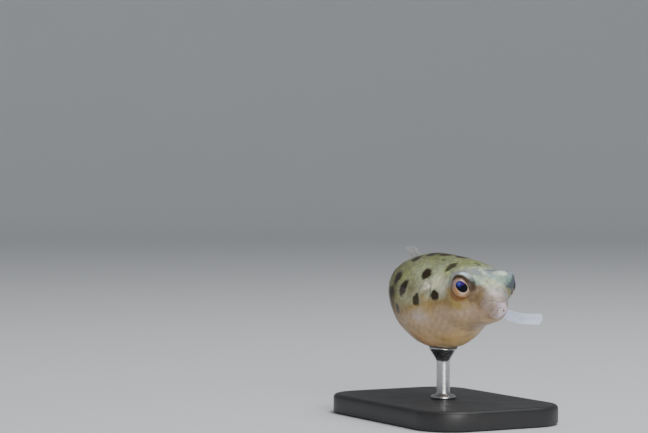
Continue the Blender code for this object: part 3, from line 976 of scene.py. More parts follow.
# place, angle, half length, half height, tilt in degrees, strength
SPOTS_RIGHT = (
    (0.647, 175.6, 0.0335, 0.0322, 0, 1), (0.629, 150.6, 0.036, 0.03, 28, 1),
    (0.529, 161.0, 0.0269, 0.036, 12, 1), (0.424, 175.2, 0.0202, 0.0262, 0, 0.95),
    (0.3232, 175.3, 0.025, 0.0222, 0, 1), (0.412, 142.4, 0.029, 0.0262, 0, 1),
    (0.3, 122, 0.02, 0.033, 0, 0.88), (0.55, 102, 0.036, 0.028, 0, 1), (0.474, 95.5, 0.032, 0.022, 0, 1),
    (0.392, 87, 0.036, 0.024, 0, 1), (0.62, 115.8, 0.042, 0.026, 20, 1),
    (0.556, 190.4, 0.015, 0.0225, 0, 0.95), (0.262, 88, 0.018, 0.01, 10, 0.55),
    (0.398, 112, 0.013, 0.009, 0, 0.6), (0.735, 150, 0.0291, 0.0246, 0, 1),
    (0.745, 108, 0.0269, 0.0202, 0, 1), (0.752, 190, 0.0246, 0.0202, 0, 0.95),
    (0.815, 168, 0.0246, 0.0224, 0, 1), (0.835, 118, 0.0224, 0.0179, 0, 1),
    (0.895, 150, 0.0246, 0.0202, 0, 1), (0.905, 205, 0.0202, 0.0157, 0, 0.9),
    (0.958, 110, 0.0202, 0.0146, 0, 0.9), (0.965, 178, 0.0202, 0.0179, 0, 1),
    (0.68, 208, 0.0202, 0.0179, 0, 0.8),
)
SPOTS_LEFT = (
    (0.64, 8, 0.0322, 0.0299, 0, 1), (0.61, 35, 0.0345, 0.0299, -20, 1), (0.508, 16, 0.0253, 0.031, 0, 1),
    (0.412, 4, 0.023, 0.0242, 0, 0.95), (0.324, 5, 0.0218, 0.0207, 0, 1), (0.4, 42, 0.0299, 0.0242, 0, 1),
    (0.3, 60, 0.02, 0.032, 0, 0.85), (0.52, 56, 0.0287, 0.023, 0, 1), (0.588, 76, 0.0253, 0.0207, 0, 0.9),
    (0.556, -8, 0.0184, 0.0207, 0, 0.9), (0.7, 24, 0.0276, 0.0253, 0, 1), (0.715, 62, 0.0276, 0.0207, 0, 1),
    (0.742, -6, 0.023, 0.0207, 0, 0.9), (0.8, 22, 0.0253, 0.0207, 0, 1), (0.868, 44, 0.023, 0.0184, 0, 1),
    (0.88, -4, 0.023, 0.0172, 0, 0.9), (0.945, 20, 0.0207, 0.0161, 0, 1),
)


def spot_marks(points):
    """(closeness, strength) of the dark spots: each an ellipse in the skin's tangent plane, with a wavy edge."""
    close, strong = np.zeros(points.shape[:-1]), np.zeros(points.shape[:-1])
    for count, (place, angle, long, high, tilt, strength) in enumerate(SPOTS_RIGHT + SPOTS_LEFT):
        centre = mark_point(place, angle)
        rise = unit(mark_point(place, angle + (2 if angle < 90 else -2)) - centre)
        back = mark_point(place + SPOT_STEP, angle) - mark_point(place - SPOT_STEP, angle)
        back = unit(back - rise * (back @ rise))
        off = points - centre
        c, s = math.cos(math.radians(tilt)), math.sin(math.radians(tilt))
        u, v, w = off @ back, off @ rise, off @ np.cross(back, rise)
        a, b = (u * c + v * s) / long, (v * c - u * s) / high
        turn = np.arctan2(b, a)
        wave = 1 + 0.07 * np.sin(3 * turn + count) + 0.05 * np.sin(5 * turn + 2 * count)
        near = np.clip(1 - np.hypot(a, b) / wave / 2, 0, 1) * (np.abs(w) < SPOT_DEPTH)
        strong = np.where(near > close, strength, strong)
        close = np.maximum(close, near)
    return close, strong


# Soft tints, some the skin's own tones and many painted light and shade: the belly lighter where light comes up onto
# it, a painted highlight over the bridge of the snout, painted shade over the top of the back, and the lower rear
# darker and warmer with painted reflected light. Columns: place, degrees down from the midline of the back, reach
# along the body, reach round it, factor
TINTS_AND_PAINTED_LIGHT = (
    (0.51, 0, 0.07, 24, (0.58, 0.56, 0.48)), (0.52, 50, 0.06, 18, (1.2, 1.18, 1.26)),
    (0.32, 36, 0.034, 24, (1.34, 1.34, 1.28)), (0.56, 92, 0.08, 18, (0.84, 0.8, 0.66)),
    (0.6, 118, 0.05, 22, (0.76, 0.64, 0.48)), (0.165, 145, 0.055, 26, (1.36, 1.34, 1.22)),
    (0.45, 165, 0.05, 22, (1.75, 1.46, 1.34)), (0.24, 86, 0.03, 13, (0.52, 0.46, 0.36)),
    (0.36, 98, 0.11, 12, (0.96, 0.92, 0.72)), (0.115, 10, 0.024, 24, (1.24, 1.26, 1.36)),
    (0.6, 140, 0.06, 22, (0.74, 0.58, 0.36)), (0.09, 62, 0.022, 16, (0.72, 0.68, 0.64)),
    (0.23, 150, 0.05, 26, (1.2, 1.18, 1.06)), (0.43, 40, 0.05, 22, (1.04, 1.06, 1.12)),
    (0.64, 78, 0.05, 40, (0.74, 0.7, 0.62)), (0.155, 28, 0.024, 14, (0.9, 0.94, 0.82)),
    (0.69, 46, 0.04, 22, (0.74, 0.64, 0.7)), (0.612, 89, 0.03, 14, (0.3, 0.25, 0.16)),
    (0.47, 34, 0.06, 16, (1.18, 1.18, 1.24)), (0.47, 70, 0.034, 12, (0.66, 0.64, 0.54)),
    (0.266, 28, 0.022, 12, (0.62, 0.62, 0.84)), (0.27, 3, 0.04, 16, (0.8, 0.81, 0.78)),
    (0.508, 149, 0.05, 18, (0.74, 0.54, 0.34)), (0.345, 162, 0.04, 14, (0.86, 0.8, 0.56)),
    (0.048, 96, 0.024, 34, (1.02, 0.9, 0.84)), (0.012, 92, 0.012, 60, (0.9, 0.8, 0.8)),
    (0.1, 40, 0.016, 12, (0.8, 0.79, 0.76)), (0.395, 90, 0.03, 10, (1.04, 1.1, 1.24)),
    (0.076, 7, 0.016, 16, (1.62, 1.72, 1.84)), (0.02, 12, 0.014, 30, (1.12, 1.15, 1.28)),
    (0.369, 73, 0.011, 8, (0.42, 0.4, 0.4)), (0.257, 58, 0.022, 20, (0.97, 0.98, 1.2)),
    (0.064, 36, 0.016, 14, (0.88, 0.84, 0.85)), (0.69, 46, 0.022, 14, (0.84, 0.76, 0.82)),
    (0.456, 70, 0.03, 10, (0.84, 0.82, 0.78)), (0.47, 50, 0.03, 14, (1.14, 1.15, 1.26)),
    (0.29, 170, 0.04, 18, (1.2, 1.16, 0.98)), (0.385, 82, 0.012, 7, (0.66, 0.58, 0.44)),
    (0.086, 94, 0.02, 18, (0.98, 0.88, 0.76)), (0.078, 132, 0.024, 18, (0.94, 0.86, 0.76)),
    (0.106, 86, 0.016, 15, (0.66, 0.6, 0.5)), (0.348, 36, 0.028, 13, (1.1, 1.14, 1.4)),
    (0.32, 60, 0.03, 12, (1.1, 1.13, 1.02)), (0.012, 68, 0.012, 22, (0.86, 0.8, 0.8)),
    (0.268, 62, 0.02, 12, (1.08, 1.07, 1.03)), (0.6, 104, 0.024, 14, (0.88, 0.82, 0.72)),
)
# Painted highlights, small pinkish white glints over the pectoral fin's root: place, height, reach along the body,
# reach up, amount
GLINTS = (
    (0.3682, 0.0575, 0.008, 0.006, 1.0), (0.39, 0.066, 0.007, 0.004, 0.6),
    (0.386, 0.046, 0.011, 0.005, 0.6), (0.403, 0.032, 0.006, 0.009, 0.45),
)
# Height of the line between back and belly by place, and place of the cheek's brown band by height
BORDER = ((0.0, 0.17, 0.24, 0.3, 0.36, 0.44, 0.54, 0.72, 0.85, 1.0),
          (0.0, 0.006, 0.016, 0.008, -0.008, -0.042, -0.078, -0.075, -0.03, -0.02))
CHEEK_BAND = ((-0.07, -0.033, 0.012, 0.055, 0.085), (0.15, 0.106, 0.092, 0.104, 0.126))
# By the turn about the eye's axis: outer edges of the rust under the eye and of the painted shade on the slope behind
# the left eye's swelling, and how much of the upper lid's band of painted shade shows
RUST_EDGE = ((-160, -135, -118, -90, -60), (0.066, 0.084, 0.078, 0.064, 0.058))
SLOPE_EDGE = ((48, 58, 72, 84), (0.069, 0.065, 0.065, 0.0655))
BAND_SHOWS = ((-22, -4, 8, 22, 130, 150, 172), (0, 0.82, 0.94, 1, 1, 0.85, 0))


def paint_body(paint, skin):
    """Belly, flank and back with their border and patches; returns how much of the back's pattern shows."""
    place, y, z, side = skin.place, skin.y, skin.z, skin.side
    uneven, fine = ripple(skin.points, 0.1, 21), ripple(skin.points, 0.035, 22)
    above = z - np.interp(place, *BORDER) + 0.004 * uneven + 0.002 * fine
    # The lowest belly in olive tan: its own colour, painted lighter as painted light from below
    paint.mix("low", 0.85 * smooth(z, -0.08, -0.2))
    # A painted sheen, bluish white, on the side of the belly
    haze = np.hypot((place - 0.415) / 0.055, (z + 0.066) / 0.04)
    paint.mix("haze", 0.6 * smooth(haze, 1.3, 0.2))
    paint.mix("flank", smooth(above, -0.012, 0.024))
    # Golden olive where the flank meets the belly, wider and duller behind
    rear, ends = smooth(place, 0.4, 0.54), smooth(place, 0.12, 0.18) * smooth(place, 0.86, 0.72)
    paint.mix("border", (0.8 + 0.05 * rear) * hump(above, 0.0, 0.02 + 0.014 * rear) * ends)
    olive = smooth(above, 0.055, 0.135) * smooth(place, 0.16, 0.27)
    olive = np.maximum(olive, smooth(place, 0.48, 0.62) * smooth(above, 0.005, 0.05))
    paint.mix("back", olive)
    patches = smooth(uneven + 0.5 * fine, 0.2, 1.0) * olive
    nape = 0.9 * hump(place, 0.285, 0.045) * hump(y, -0.02, 0.05625) * (z > 0.1)
    paint.mix("patch", 0.65 * np.maximum(patches, nape))
    # Painted light on the side behind the eye, which is pale there; painted shade along the top of the back; the rear
    # of the back darker, partly its own colour and partly painted shade; pale green-grey between the eyes
    paint.mix("pale", 0.85 * hump(place, 0.32, 0.06) * hump(z, 0.078, 0.036) * (side > 0.06))
    top = smooth(z, 0.125, 0.168) * smooth(place, 0.2, 0.3)
    rear_tone_and_shade = smooth(place, 0.42, 0.6) * smooth(z, 0.02, 0.1)
    paint.tone *= (1 - 0.24 * top - 0.12 * rear_tone_and_shade)[..., None]
    brow = smooth(z, 0.075, 0.11) * smooth(place, 0.3, 0.2)
    paint.mix("forehead", 0.9 * brow)
    return np.clip(olive + 0.45 * brow + 0.3 * smooth(above, 0.0, 0.04), 0, 1) * smooth(place, 0.03, 0.1)


def paint_snout(paint, skin):
    """Snout, the cheek's brown band, lips, and painted shade on the snout's sides, at the mouth's corner and in the
    creases about them, with a painted highlight by the mouth.
    """
    place, y, z, down = skin.place, skin.y, skin.z, skin.down
    paint.mix("snout", smooth(place, 0.125, 0.07) * smooth(z, -0.05, 0.03))
    cheek = hump(place, np.interp(z, *CHEEK_BAND), 0.024) * smooth(skin.side, 0.03, 0.06)
    cheek = cheek * smooth(z, 0.09, 0.065) * smooth(z, -0.06, -0.03)
    paint.mix("cheek", (0.66 + 0.2 * smooth(z, 0.0, 0.05)) * cheek)
    # Painted shade: brown grey over the sides of the snout
    shaded = smooth(place, 0.016, 0.034) * smooth(place, 0.105, 0.075)
    paint.mix("crease", 0.36 * shaded * smooth(down, 30, 70) * smooth(down, 170, 140))
    # The lips in their own pale lavender, paler towards the left as painted light
    paint.mix("lips", 0.9 * smooth(place, 0.026, 0.006) * (0.45 + 0.55 * smooth(y, -0.024, 0.008)))
    # A painted highlight on the lips by the mouth
    paint.mix("painted_glint", 0.95 * hump(y, 0.002, 0.016) * hump(z, 0.012, 0.012) * smooth(place, 0.012, 0.004))
    # Painted shade: brown grey at the right corner of the mouth, and in the folds over the upper lip
    paint.mix("crease", 0.5 * hump(y, -0.016, 0.01) * hump(z, 0.012, 0.016) * smooth(place, 0.04, 0.02))
    over_lip = lip_fold(down) + 0.0005
    paint.mix("crease", 0.55 * hump(place, over_lip, 0.0058) * smooth(down, 68, 44))
    paint.mix("crease", 0.26 * hump(place, over_lip + 0.016, 0.005) * smooth(down, 60, 30))


def paint_tints_and_light(paint, skin):
    """The soft tints with their painted light and shade, a fine unevenness, and the pectoral fins' roots: tan before,
    with painted pinkish white highlights over them.
    """
    for place, middle, long, wide, factor in TINTS_AND_PAINTED_LIGHT:
        paint.shade(hump(skin.place, place, long) * hump(skin.down, middle, wide), factor)
    paint.tone *= (1 + 0.075 * ripple(skin.points, 0.02, 41) + 0.05 * ripple(skin.points, 0.009, 42))[..., None]
    flank = skin.side > 0.08
    paint.mix("border", 0.9 * hump(skin.place, 0.386, 0.016) * hump(skin.z, 0.008, 0.013) * flank)
    # Painted highlights over the fin's root
    shine = 0.5 + 0.5 * smooth(ripple(skin.points, 0.012, 31), -0.6, 0.8)
    for place, height, long, high, amount in GLINTS:
        paint.mix("painted_glint", amount * shine * hump(skin.place, place, long) * hump(skin.z, height, high) * flank)


def paint_eye_surround(paint, skin):
    """The skin round each eye, the fold over it and its lids; before the left eye it is greyer. It carries painted
    highlights on the fold's crest and on the swelling over the left eye, and painted shade under the upper lid, in the
    troughs of the waves of skin and on the slope behind the left swelling.
    """
    off, turn, left, right = skin.off, skin.turn, skin.left, 1 - skin.left

    def span(start, end, soft):
        return turned(turn, start, end, soft)

    # Golden under the eye, rust at its lower back margin, tan before it
    gold = 0.95 * span(-156, -25, 26) * (right + left * span(-150, -95, 26))
    paint.mix("gold", gold * smooth(off, 0.11, 0.076))
    paint.mix("belly", 0.5 * right * span(-80, -48, 14) * smooth(off, 0.06, 0.07))
    paint.mix("tan", 0.92 * right * span(-50, 6, 15) * smooth(off, 0.104, 0.06 + 0.022 * span(-34, 0, 14)))
    paint.mix("ash", 0.85 * left * span(-60, -2, 10) * smooth(off, 0.054, 0.068) * smooth(off, 0.15, 0.11))
    paint.mix("moss", 0.85 * left * span(-14, 4, 8) * smooth(off, 0.074, 0.062))
    rust_edge = np.interp(turn, *RUST_EDGE)
    paint.mix("rust", 0.88 * span(-138, -72, 26) * smooth(off, rust_edge + 0.004, rust_edge - 0.009))
    # Painted shade: cheek brown in the troughs of the waves of skin before and under the eye
    trough_shade = (0.5 - 0.5 * eye_waves(off)) * smooth(off, 0.053, 0.057) * smooth(off, 0.082, 0.072)
    paint.mix("cheek", 0.42 * trough_shade * span(-62, -10, 26))
    # The fold over the eye: teal at its front end; along its crest pale lavender grey and blue white, the skin's own
    # pale colour with a painted highlight, weaker on the left; grey lavender to its back end
    ridge = np.interp(turn, *RIDGE)
    paint.mix("teal", 0.9 * smooth(np.abs(off - 0.052), 0.012, 0.0045) * span(22, 46, 14))
    paint.mix("slate", 0.95 * left * smooth(np.abs(off - 0.061), 0.009, 0.005) * span(3, 17, 8))
    paint.mix("orbit", 0.7 * left * smooth(off, 0.08, 0.066) * span(20, 56, 14))
    paint.mix("lilac", 0.9 * hump(off, ridge + 0.005, 0.0062) * span(66, 150, 16))
    paint.mix("silver", 0.9 * hump(off, ridge, 0.0042) * span(56, 158, 14))
    paint.mix("brow", (1 - 0.5 * left) * hump(off, ridge, 0.0046) * span(76, 100, 14))
    # A painted highlight on the swelling over the left eye
    paint.mix("sheen", 0.85 * left * hump(off, 0.064, 0.006) * span(58, 70, 14))
    back_end = np.interp(turn, (-180, -165), (0.068, 0.064))
    paint.mix("lilac", 0.55 * hump(off, back_end, 0.006) * span(172, 196, 10))
    # Painted shade: darker and bluer on the slope behind the left eye's swelling
    slope = left * smooth(off, np.interp(turn, *SLOPE_EDGE), 0.057) * span(20, 106, 12)
    paint.shade(slope, (0.54, 0.62, 0.72))
    paint.shade(right * hump(off, 0.056, 0.0065) * span(-6, 28, 8), 0.4)
    # Painted shade in a dark band under the upper lid, slate on the left, and the lower lid's rusty margin
    band, outer = softened(turn, *HOOD, (-6, 0, 6)), smooth(skin.along, -0.03, 0.0)
    lid = smooth(off, band + 0.0024, band - 0.0024) * outer * np.interp(turn, *BAND_SHOWS)
    paint.mix("lid", lid)
    paint.mix("slate", 0.96 * left * lid * span(-30, 96, 20))
    paint.mix("rust", 0.6 * smooth(off, 0.0535, 0.0508) * outer * span(-165, -40, 20))


def skin_colours(skin, hue):
    """(colour, how much of the back's pattern shows) over the skin, from soft-edged regions."""
    paint = Paint(hue, "belly", skin.place.shape)
    pattern = paint_body(paint, skin)
    paint_snout(paint, skin)
    around_eye = smooth(skin.off, 0.082, 0.06) * smooth(skin.z, 0.02, 0.07)
    paint.mix("orbit", 0.6 * around_eye * smooth(np.cos(np.radians(skin.turn - 78)), -0.1, 0.5))
    paint_tints_and_light(paint, skin)
    paint_eye_surround(paint, skin)
    return paint.tone, pattern


def skin_material(hue):
    """Painted regions, dark spots with uneven edges, specks of dark and pale, and a fine wet grain."""
    look = Look("puffer_skin", Roughness=0.42, Specular_IOR_Level=0.16,
                Coat_Weight=hue.gloss, Coat_Roughness=0.2,
                Subsurface_Weight=0.12, Subsurface_Radius=(1.0, 0.6, 0.4), Subsurface_Scale=0.0004)
    tone, pattern = look.attribute("tone", "Color"), look.attribute("pattern")
    cloud, fine, grain = look.noise(700, 4), look.noise(2600), look.noise(9000, 2)
    shown = look.blend(look.step(cloud, 0.42, 0.66, 0.0, 0.34), tone, (0.4, 0.42, 0.2), "SOFT_LIGHT")
    speck = look.times(look.times(look.step(fine, 0.52, 0.66), pattern), 0.34)
    shown = look.blend(speck, shown, (0.1, 0.11, 0.06))
    light = look.times(look.step(fine, 0.48, 0.36), look.line(pattern, 0.42, 0.12))
    shown = look.blend(light, shown, (1.0, 1.0, 0.72), "SOFT_LIGHT")
    cells = look.add("TexVoronoi", 0, {"feature": "F1"}, Vector=look.where, Scale=3800.0)
    shown = look.blend(look.times(look.step(cells, 0.3, 0.14), 0.34), shown, (1.0, 1.0, 0.85), "SOFT_LIGHT")
    # Spots: their closeness is shaken by noise, so that the edge is frayed
    wobble = look.times(look.plus(look.noise(5200, 3, 0.6), -0.5), 0.34)
    edge = look.step(look.plus(look.attribute("spot"), wobble), 0.36, 0.62)
    spot = look.blend(look.step(grain, 0.35, 0.7, 0.0, 0.5), hue.spot, (0.06, 0.045, 0.024))
    shown = look.blend(look.times(edge, look.attribute("strength")), shown, spot)
    shown = look.blend(look.attribute("inside"), shown, (0.42, 0.34, 0.35))
    look.into("Base Color", shown)
    look.into("Roughness", look.line(cloud, 0.16, 0.34))
    pimples = look.times(look.step(cells, 0.42, 0.1), 0.6)
    look.bump(look.plus(pimples, look.plus(grain, look.times(fine, 1.2))), hue.grain, 0.8)
    return look.material


class PUFFER_OT_skin(bpy.types.Operator):
    """Makes the one skin that stands for lips, head, trunk and tail"""

    bl_idname = "puffer.skin"
    bl_label = "Skin"

    def execute(self, context):
        hue = context.scene.puffer_skin
        polar, rows = turns_of(SKIN_COLUMNS)[None, :], skin_rows()[:, None]
        reach = section_reach(rows, polar)
        body = xyz(-rows, reach * np.cos(polar), section(rows)[3] + reach * np.sin(polar))
        mouth, stub = mouth_rings(polar), tail_end(polar)
        points = np.concatenate((mouth, body, stub))
        places = np.concatenate((np.full(len(mouth), -0.001), rows[:, 0], np.full(len(stub), 1.0)))[:, None]
        for side in (1, -1):
            points = shape_orbit(points, places, side)
        skin = Skin(points, np.broadcast_to(np.degrees(polar), points.shape[:-1]))
        folds = relief(skin) * smooth(skin.off, 0.05, 0.056) * (places > 0)
        shaped = points + outward(points) * folds[..., None]
        start = shaped[0].mean(axis=0) - np.array((THROAT_END, 0, 0))
        end = np.array((-1.0 - STUB_DEPTH, 0.0, float(section(1.0)[3])))
        ends = in_world(bent(np.stack((start, end))))
        made = closed_tube("fish_skin", in_world(bent(shaped)), *ends, skin_material(hue))

        def with_ends(values):
            """Values of the grid's points, then those of the two end points."""
            return np.concatenate((values.reshape(-1, *values.shape[2:]), values[:1, 0], values[-1:, 0]))

        tone, pattern = skin_colours(skin, hue)
        close, strong = spot_marks(points)
        inside = np.zeros(points.shape[:-1])
        inside[:len(mouth)] = np.linspace(1, 0, len(mouth))[:, None] ** 1.5
        keep_colours(made, "tone", with_ends(tone))
        keep_numbers(made, pattern=with_ends(pattern), spot=with_ends(close), strength=with_ends(strong),
                     inside=with_ends(inside))
        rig.ride(made, "root")
        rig.replaces(made, "lips", "head", "trunk", "tail")
        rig.slot(made, "skin")
        return {"FINISHED"}


# ---------------------------------------------------------------- the eyes


# Tints of an eyeball: hue, amount, (turn about the axis from, to, soft edge), (measure, none at, full at). "off"
# is the distance from the axis, "reach" that from the pupil's middle in radii, "lid" that past the lid's shadow
BALL_TINTS = (
    ("warm", 0.95, (-137, -73, 34), None), ("cream", 0.8, (-76, -48, 26), ("off", 0.045, 0.034)),
    ("olive", 0.7, (-40, 4, 24), ("off", 0.034, 0.042)), ("lilac", 0.75, (136, 180, 28), None),
    # The pink cream over the pupil is a painted highlight
    ("cream", 0.55, (-140, 60, 40), ("reach", 1.36, 1.1)), ("iris_glint", 0.85, (62, 86, 18), ("off", 0.035, 0.03)),
    ("olive", 0.9, (13, 137, 40), ("lid", -0.0065, 0)),
    ("olive", 0.62, (-192, -132, 20), ("off", 0.032, 0.046)),
    ("rust", 0.9, (-124, -76, 26), ("off", 0.036, 0.047)), ("olive", 0.6, (-65, -25, 24), ("off", 0.043, 0.05)),
)
FRONT_MARGIN = ("edge", 0.94, (-56, 72, 24), ("off", 0.03, 0.042))  # of the left eyeball only
LID_SHADOW = ((-30, 0, 30, 60, 90, 120, 150, 178), (0.046, 0.041, 0.036, 0.035, 0.037, 0.039, 0.043, 0.05))


def eye_material(name, hue):
    """A glossy ball: a dark pupil with a painted blue reflection in it, in an iris of streaked tan, orange and cream.
    """
    look = Look(name, Roughness=0.35, Specular_IOR_Level=0.08,
                Coat_Weight=0.35, Coat_Roughness=0.04, Coat_IOR=1.3)
    streak = look.noise(9000)
    tone = look.attribute("tone", "Color")
    iris = look.blend(look.step(streak, 0.35, 0.7, 0.0, 0.35), tone, (0.16, 0.09, 0.05))
    # A painted reflection in the pupil: blue, with a violet edge
    pupil = look.blend(look.attribute("glow"), hue.pupil, hue.glow)
    pupil = look.blend(look.times(look.attribute("violet"), 0.7), pupil, hue.violet)
    uneven = look.plus(look.attribute("reach"), look.times(look.plus(streak, -0.5), 0.05))
    look.into("Base Color", look.blend(look.step(uneven, 0.97, 1.05), pupil, iris))
    look.bump(streak, 0.000006, 0.4)
    return look.material


def eyeball(side):
    """(rings, end points, middle of the dome's sphere) of an eyeball in body lengths. Its profile is a part of
    that sphere, a small round edge, then half an ellipse to the back."""
    centre, axis, forward, up = eye_frame(side)
    hub = centre - axis * DOME_SINK
    turn = np.linspace(0, math.asin(CORNEA_REACH / DOME_RADIUS), 74)[1:]
    back = np.linspace(0, math.pi / 2, 26)[1:-1]
    wide = np.concatenate((DOME_RADIUS * np.sin(turn), CORNEA_REACH * np.cos(back)))
    high = DOME_RADIUS * np.cos(turn)
    high = np.concatenate((high, high[-1] - BALL_BACK * np.sin(back) - BALL_EDGE))
    around = turns_of(BALL_COLUMNS)[:, None]
    ring = np.cos(around) * forward + np.sin(around) * up
    points = hub + wide[:, None, None] * ring + high[:, None, None] * axis
    ends = np.stack((hub + axis * DOME_RADIUS, hub + axis * (high[-1] - BALL_TIP)))
    return points[:, ::-side], ends, hub


def ball_colours(points, side, reach, spin, hue):
    """Colour of the iris: the table of tints, then fine radial streaks."""
    off, turn, _ = eye_coordinates(points, side)
    measures = {"off": off, "reach": reach, "lid": off - np.interp(turn, *LID_SHADOW)}
    paint = Paint(hue, "iris", points.shape[:-1])
    for name, amount, span, step in BALL_TINTS + ((FRONT_MARGIN,) if side > 0 else ()):
        amount = amount * turned(turn, *span)
        paint.mix(name, amount * smooth(measures[step[0]], *step[1:]) if step else amount)
    streaks = 0.5 + 0.5 * np.sin(spin * 46 + 3 * np.sin(spin * 7))
    paint.shade(0.16 * streaks * smooth(reach, 1.1, 1.4), 0.0)
    return paint.tone


class PUFFER_OT_eyes(bpy.types.Operator):
    """Makes both eyeballs, each a dome before a rounded back, with its pupil turned a little forward"""

    bl_idname = "puffer.eyes"
    bl_label = "Eyes"

    def execute(self, context):
        hue = context.scene.puffer_eye
        for name, side in (("eye_right", -1), ("eye_left", 1)):
            points, ends, hub = eyeball(side)
            flat = np.concatenate((points.reshape(-1, 3), ends))
            ways = unit(flat - hub)
            gaze = aimed(side, GAZE_FORWARD, GAZE_UP)
            fore, top = frame_across(gaze, eye_frame(side)[2], side)
            angle = np.degrees(np.arccos(np.clip(ways @ gaze, -1, 1)))
            u, v = ways @ fore, ways @ top
            spin = np.arctan2(v, u)
            # The pupil is a tilted egg: its radius has a small wave once and twice round
            egg = 1 + 0.163 * np.cos(2 * spin + math.radians(52.4)) + 0.046 * np.cos(spin + math.radians(63.6))
            reach = angle / (PUPIL_DEGREES * egg)
            # A painted reflection: a blue patch in the pupil's upper back part, violet towards its top front
            glow = hump(u, -0.185, 0.15) * hump(v, 0.15, 0.15)
            violet = hump(u, 0.06, 0.11875) * hump(v, 0.19, 0.095)
            material = eye_material(name + "_gloss", hue)
            made = closed_tube(name + "_detailed", in_world(points), *in_world(ends), material)
            keep_colours(made, "tone", ball_colours(flat, side, reach, spin, hue))
            keep_numbers(made, reach=reach, glow=glow, violet=violet)
            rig.ride(made, "root")
            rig.replaces(made, name)
            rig.slot(made, "eye")
        return {"FINISHED"}


# ---------------------------------------------------------------- the beak


def beak_material():
    """Cream tooth plate, darker at the seam, with faint growth lines."""
    look = Look("puffer_beak", Roughness=0.28, Coat_Weight=0.4, Coat_Roughness=0.1,
                Subsurface_Weight=0.15, Subsurface_Radius=(1.0, 0.7, 0.5), Subsurface_Scale=0.0001)
    lines = look.add("TexWave", 1, {"bands_direction": "Z"}, Vector=look.where,
                     Scale=3200.0, Distortion=2.0, Detail=1.0)
    pale = look.blend(look.noise(5000), (0.88, 0.84, 0.84), (0.96, 0.94, 0.98))
    # Painted shade: the plates are darker towards the mouth's corners
    pale = look.blend(look.times(look.attribute("stain"), 0.6), pale, (0.42, 0.35, 0.35))
    pale = look.blend(look.times(lines, 0.12), pale, (0.5, 0.38, 0.24))
    look.into("Base Color", look.blend(look.attribute("seam"), pale, (0.22, 0.13, 0.09)))
    look.bump(lines, 0.000004, 0.5)
    return look.material


def power(value, exponent):
    """A power that keeps its value's sign."""
    return np.sign(value) * np.abs(value) ** exponent


class PUFFER_OT_beak(bpy.types.Operator):
    """Makes the upper and lower biting plates, each two fused teeth with a seam between them"""

    bl_idname = "puffer.beak"
    bl_label = "Beak"

    def execute(self, context):
        material = beak_material()
        polar = turns_of(72)[None, :]
        rise = np.linspace(-math.pi / 2, math.pi / 2, 38)[1:-1, None]
        for name, way in (("beak_upper", 1), ("beak_lower", -1)):
            # A superellipsoid whose front bows back at the sides, with a groove down its middle
            level = power(np.cos(rise), 0.55)
            x = PLATE_DEPTH * level * power(np.cos(polar), 0.75)
            y = PLATE_WIDTH * level * power(np.sin(polar), 0.75)
            z = PLATE_HEIGHT * power(np.sin(rise), 0.75)
            y = y * (1 - 0.25 * smooth(way * z, -PLATE_HEIGHT, PLATE_HEIGHT))
            x = x - PLATE_BOW * y * y - 0.001 * hump(y, 0, 0.0012) * (x > 0)
            height = BITE_HEIGHT + way * BITE_OFFSET
            rings = xyz(x - PLATE_BACK, y, z + height)[:, ::-1]
            poles = xyz(-PLATE_BACK, 0, height + PLATE_HEIGHT * np.array((-1, 1)))
            made = closed_tube(name + "_plate", in_world(rings), *in_world(poles), material)
            across = rings[..., 1].ravel()
            seam = np.append(0.8 * hump(across, 0, 0.0007), (0.0, 0.0))
            # Painted shade towards the corners, none near the middle
            stain = np.append(1 - hump(across, 0.004, 0.0052), (1.0, 1.0))
            keep_numbers(made, seam=seam, stain=stain)
            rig.ride(made, "root")
            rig.replaces(made, name)
            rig.slot(made, "beak")
        return {"FINISHED"}


# ---------------------------------------------------------------- the fins


def fin_material(name, hue, solid):
    """A see-through web with milkier rays, faintly clouded."""
    look = Look(name, Roughness=0.32, Coat_Weight=0.3, Coat_Roughness=0.15)
    rays, root = look.attribute("ray"), look.attribute("root")
    cloud, milky = look.noise(1500, 4), solid > 0.5
    # The spread fin's colours are partly painted light shining through it
    web = hue.membrane if milky else hue.film
    tint = look.blend(cloud, scaled(web, 0.94), scaled(web, 1.08))
    tint = look.blend(rays, tint, hue.ray if milky else scaled(hue.film, 1.15))
    look.into("Base Color", look.blend(look.times(root, 0.6), tint, (0.52, 0.46, 0.4)))
    shown = look.plus(look.line(cloud, solid * 0.5, solid * 0.75), look.times(rays, 0.02 + solid * 0.6))
    look.into("Alpha", look.plus(shown, look.times(root, 0.06 + solid * 0.5), clamp=True))
    look.bump(look.noise(9000, 2), 0.000008, 0.5)
    return look.material


# Two ends of the root and two of the tip, each by place, distance to the left and height; rays; rounding of the
# far edge; bow out of the fin's plane; sag; how solid it looks
FINS = {
    "pectoral_fin_right": ((0.372, -0.14, 0.052), (0.388, -0.145, -0.032), (0.56, -0.235, 0.02),
                           (0.47, -0.225, -0.14), 12, 0.14, 0.012, 0.0, "clear"),
    "pectoral_fin_left": ((0.372, 0.14, -0.005), (0.388, 0.145, -0.051), (0.244, 0.344, -0.046),
                          (0.297, 0.38, -0.108), 12, 0.04, 0.007, 0.021, "milky"),
    "dorsal_fin": ((0.7, 0.0, 0.108), (0.79, 0.0, 0.084), (0.745, -0.026, 0.168),
                   (0.84, -0.052, 0.148), 8, 0.12, 0.006, 0.0, "soft"),
    "anal_fin": ((0.735, 0.0, -0.11), (0.805, 0.0, -0.075), (0.835, 0.0, -0.225),
                 (0.885, 0.0, -0.15), 8, 0.12, 0.006, 0.0, "soft"),
    "caudal_fin": ((0.975, 0.0, 0.058), (0.975, 0.0, -0.05), (1.25, 0.0, 0.075),
                   (1.25, 0.0, -0.09), 10, 0.07, 0.0, 0.0, "soft"),
}


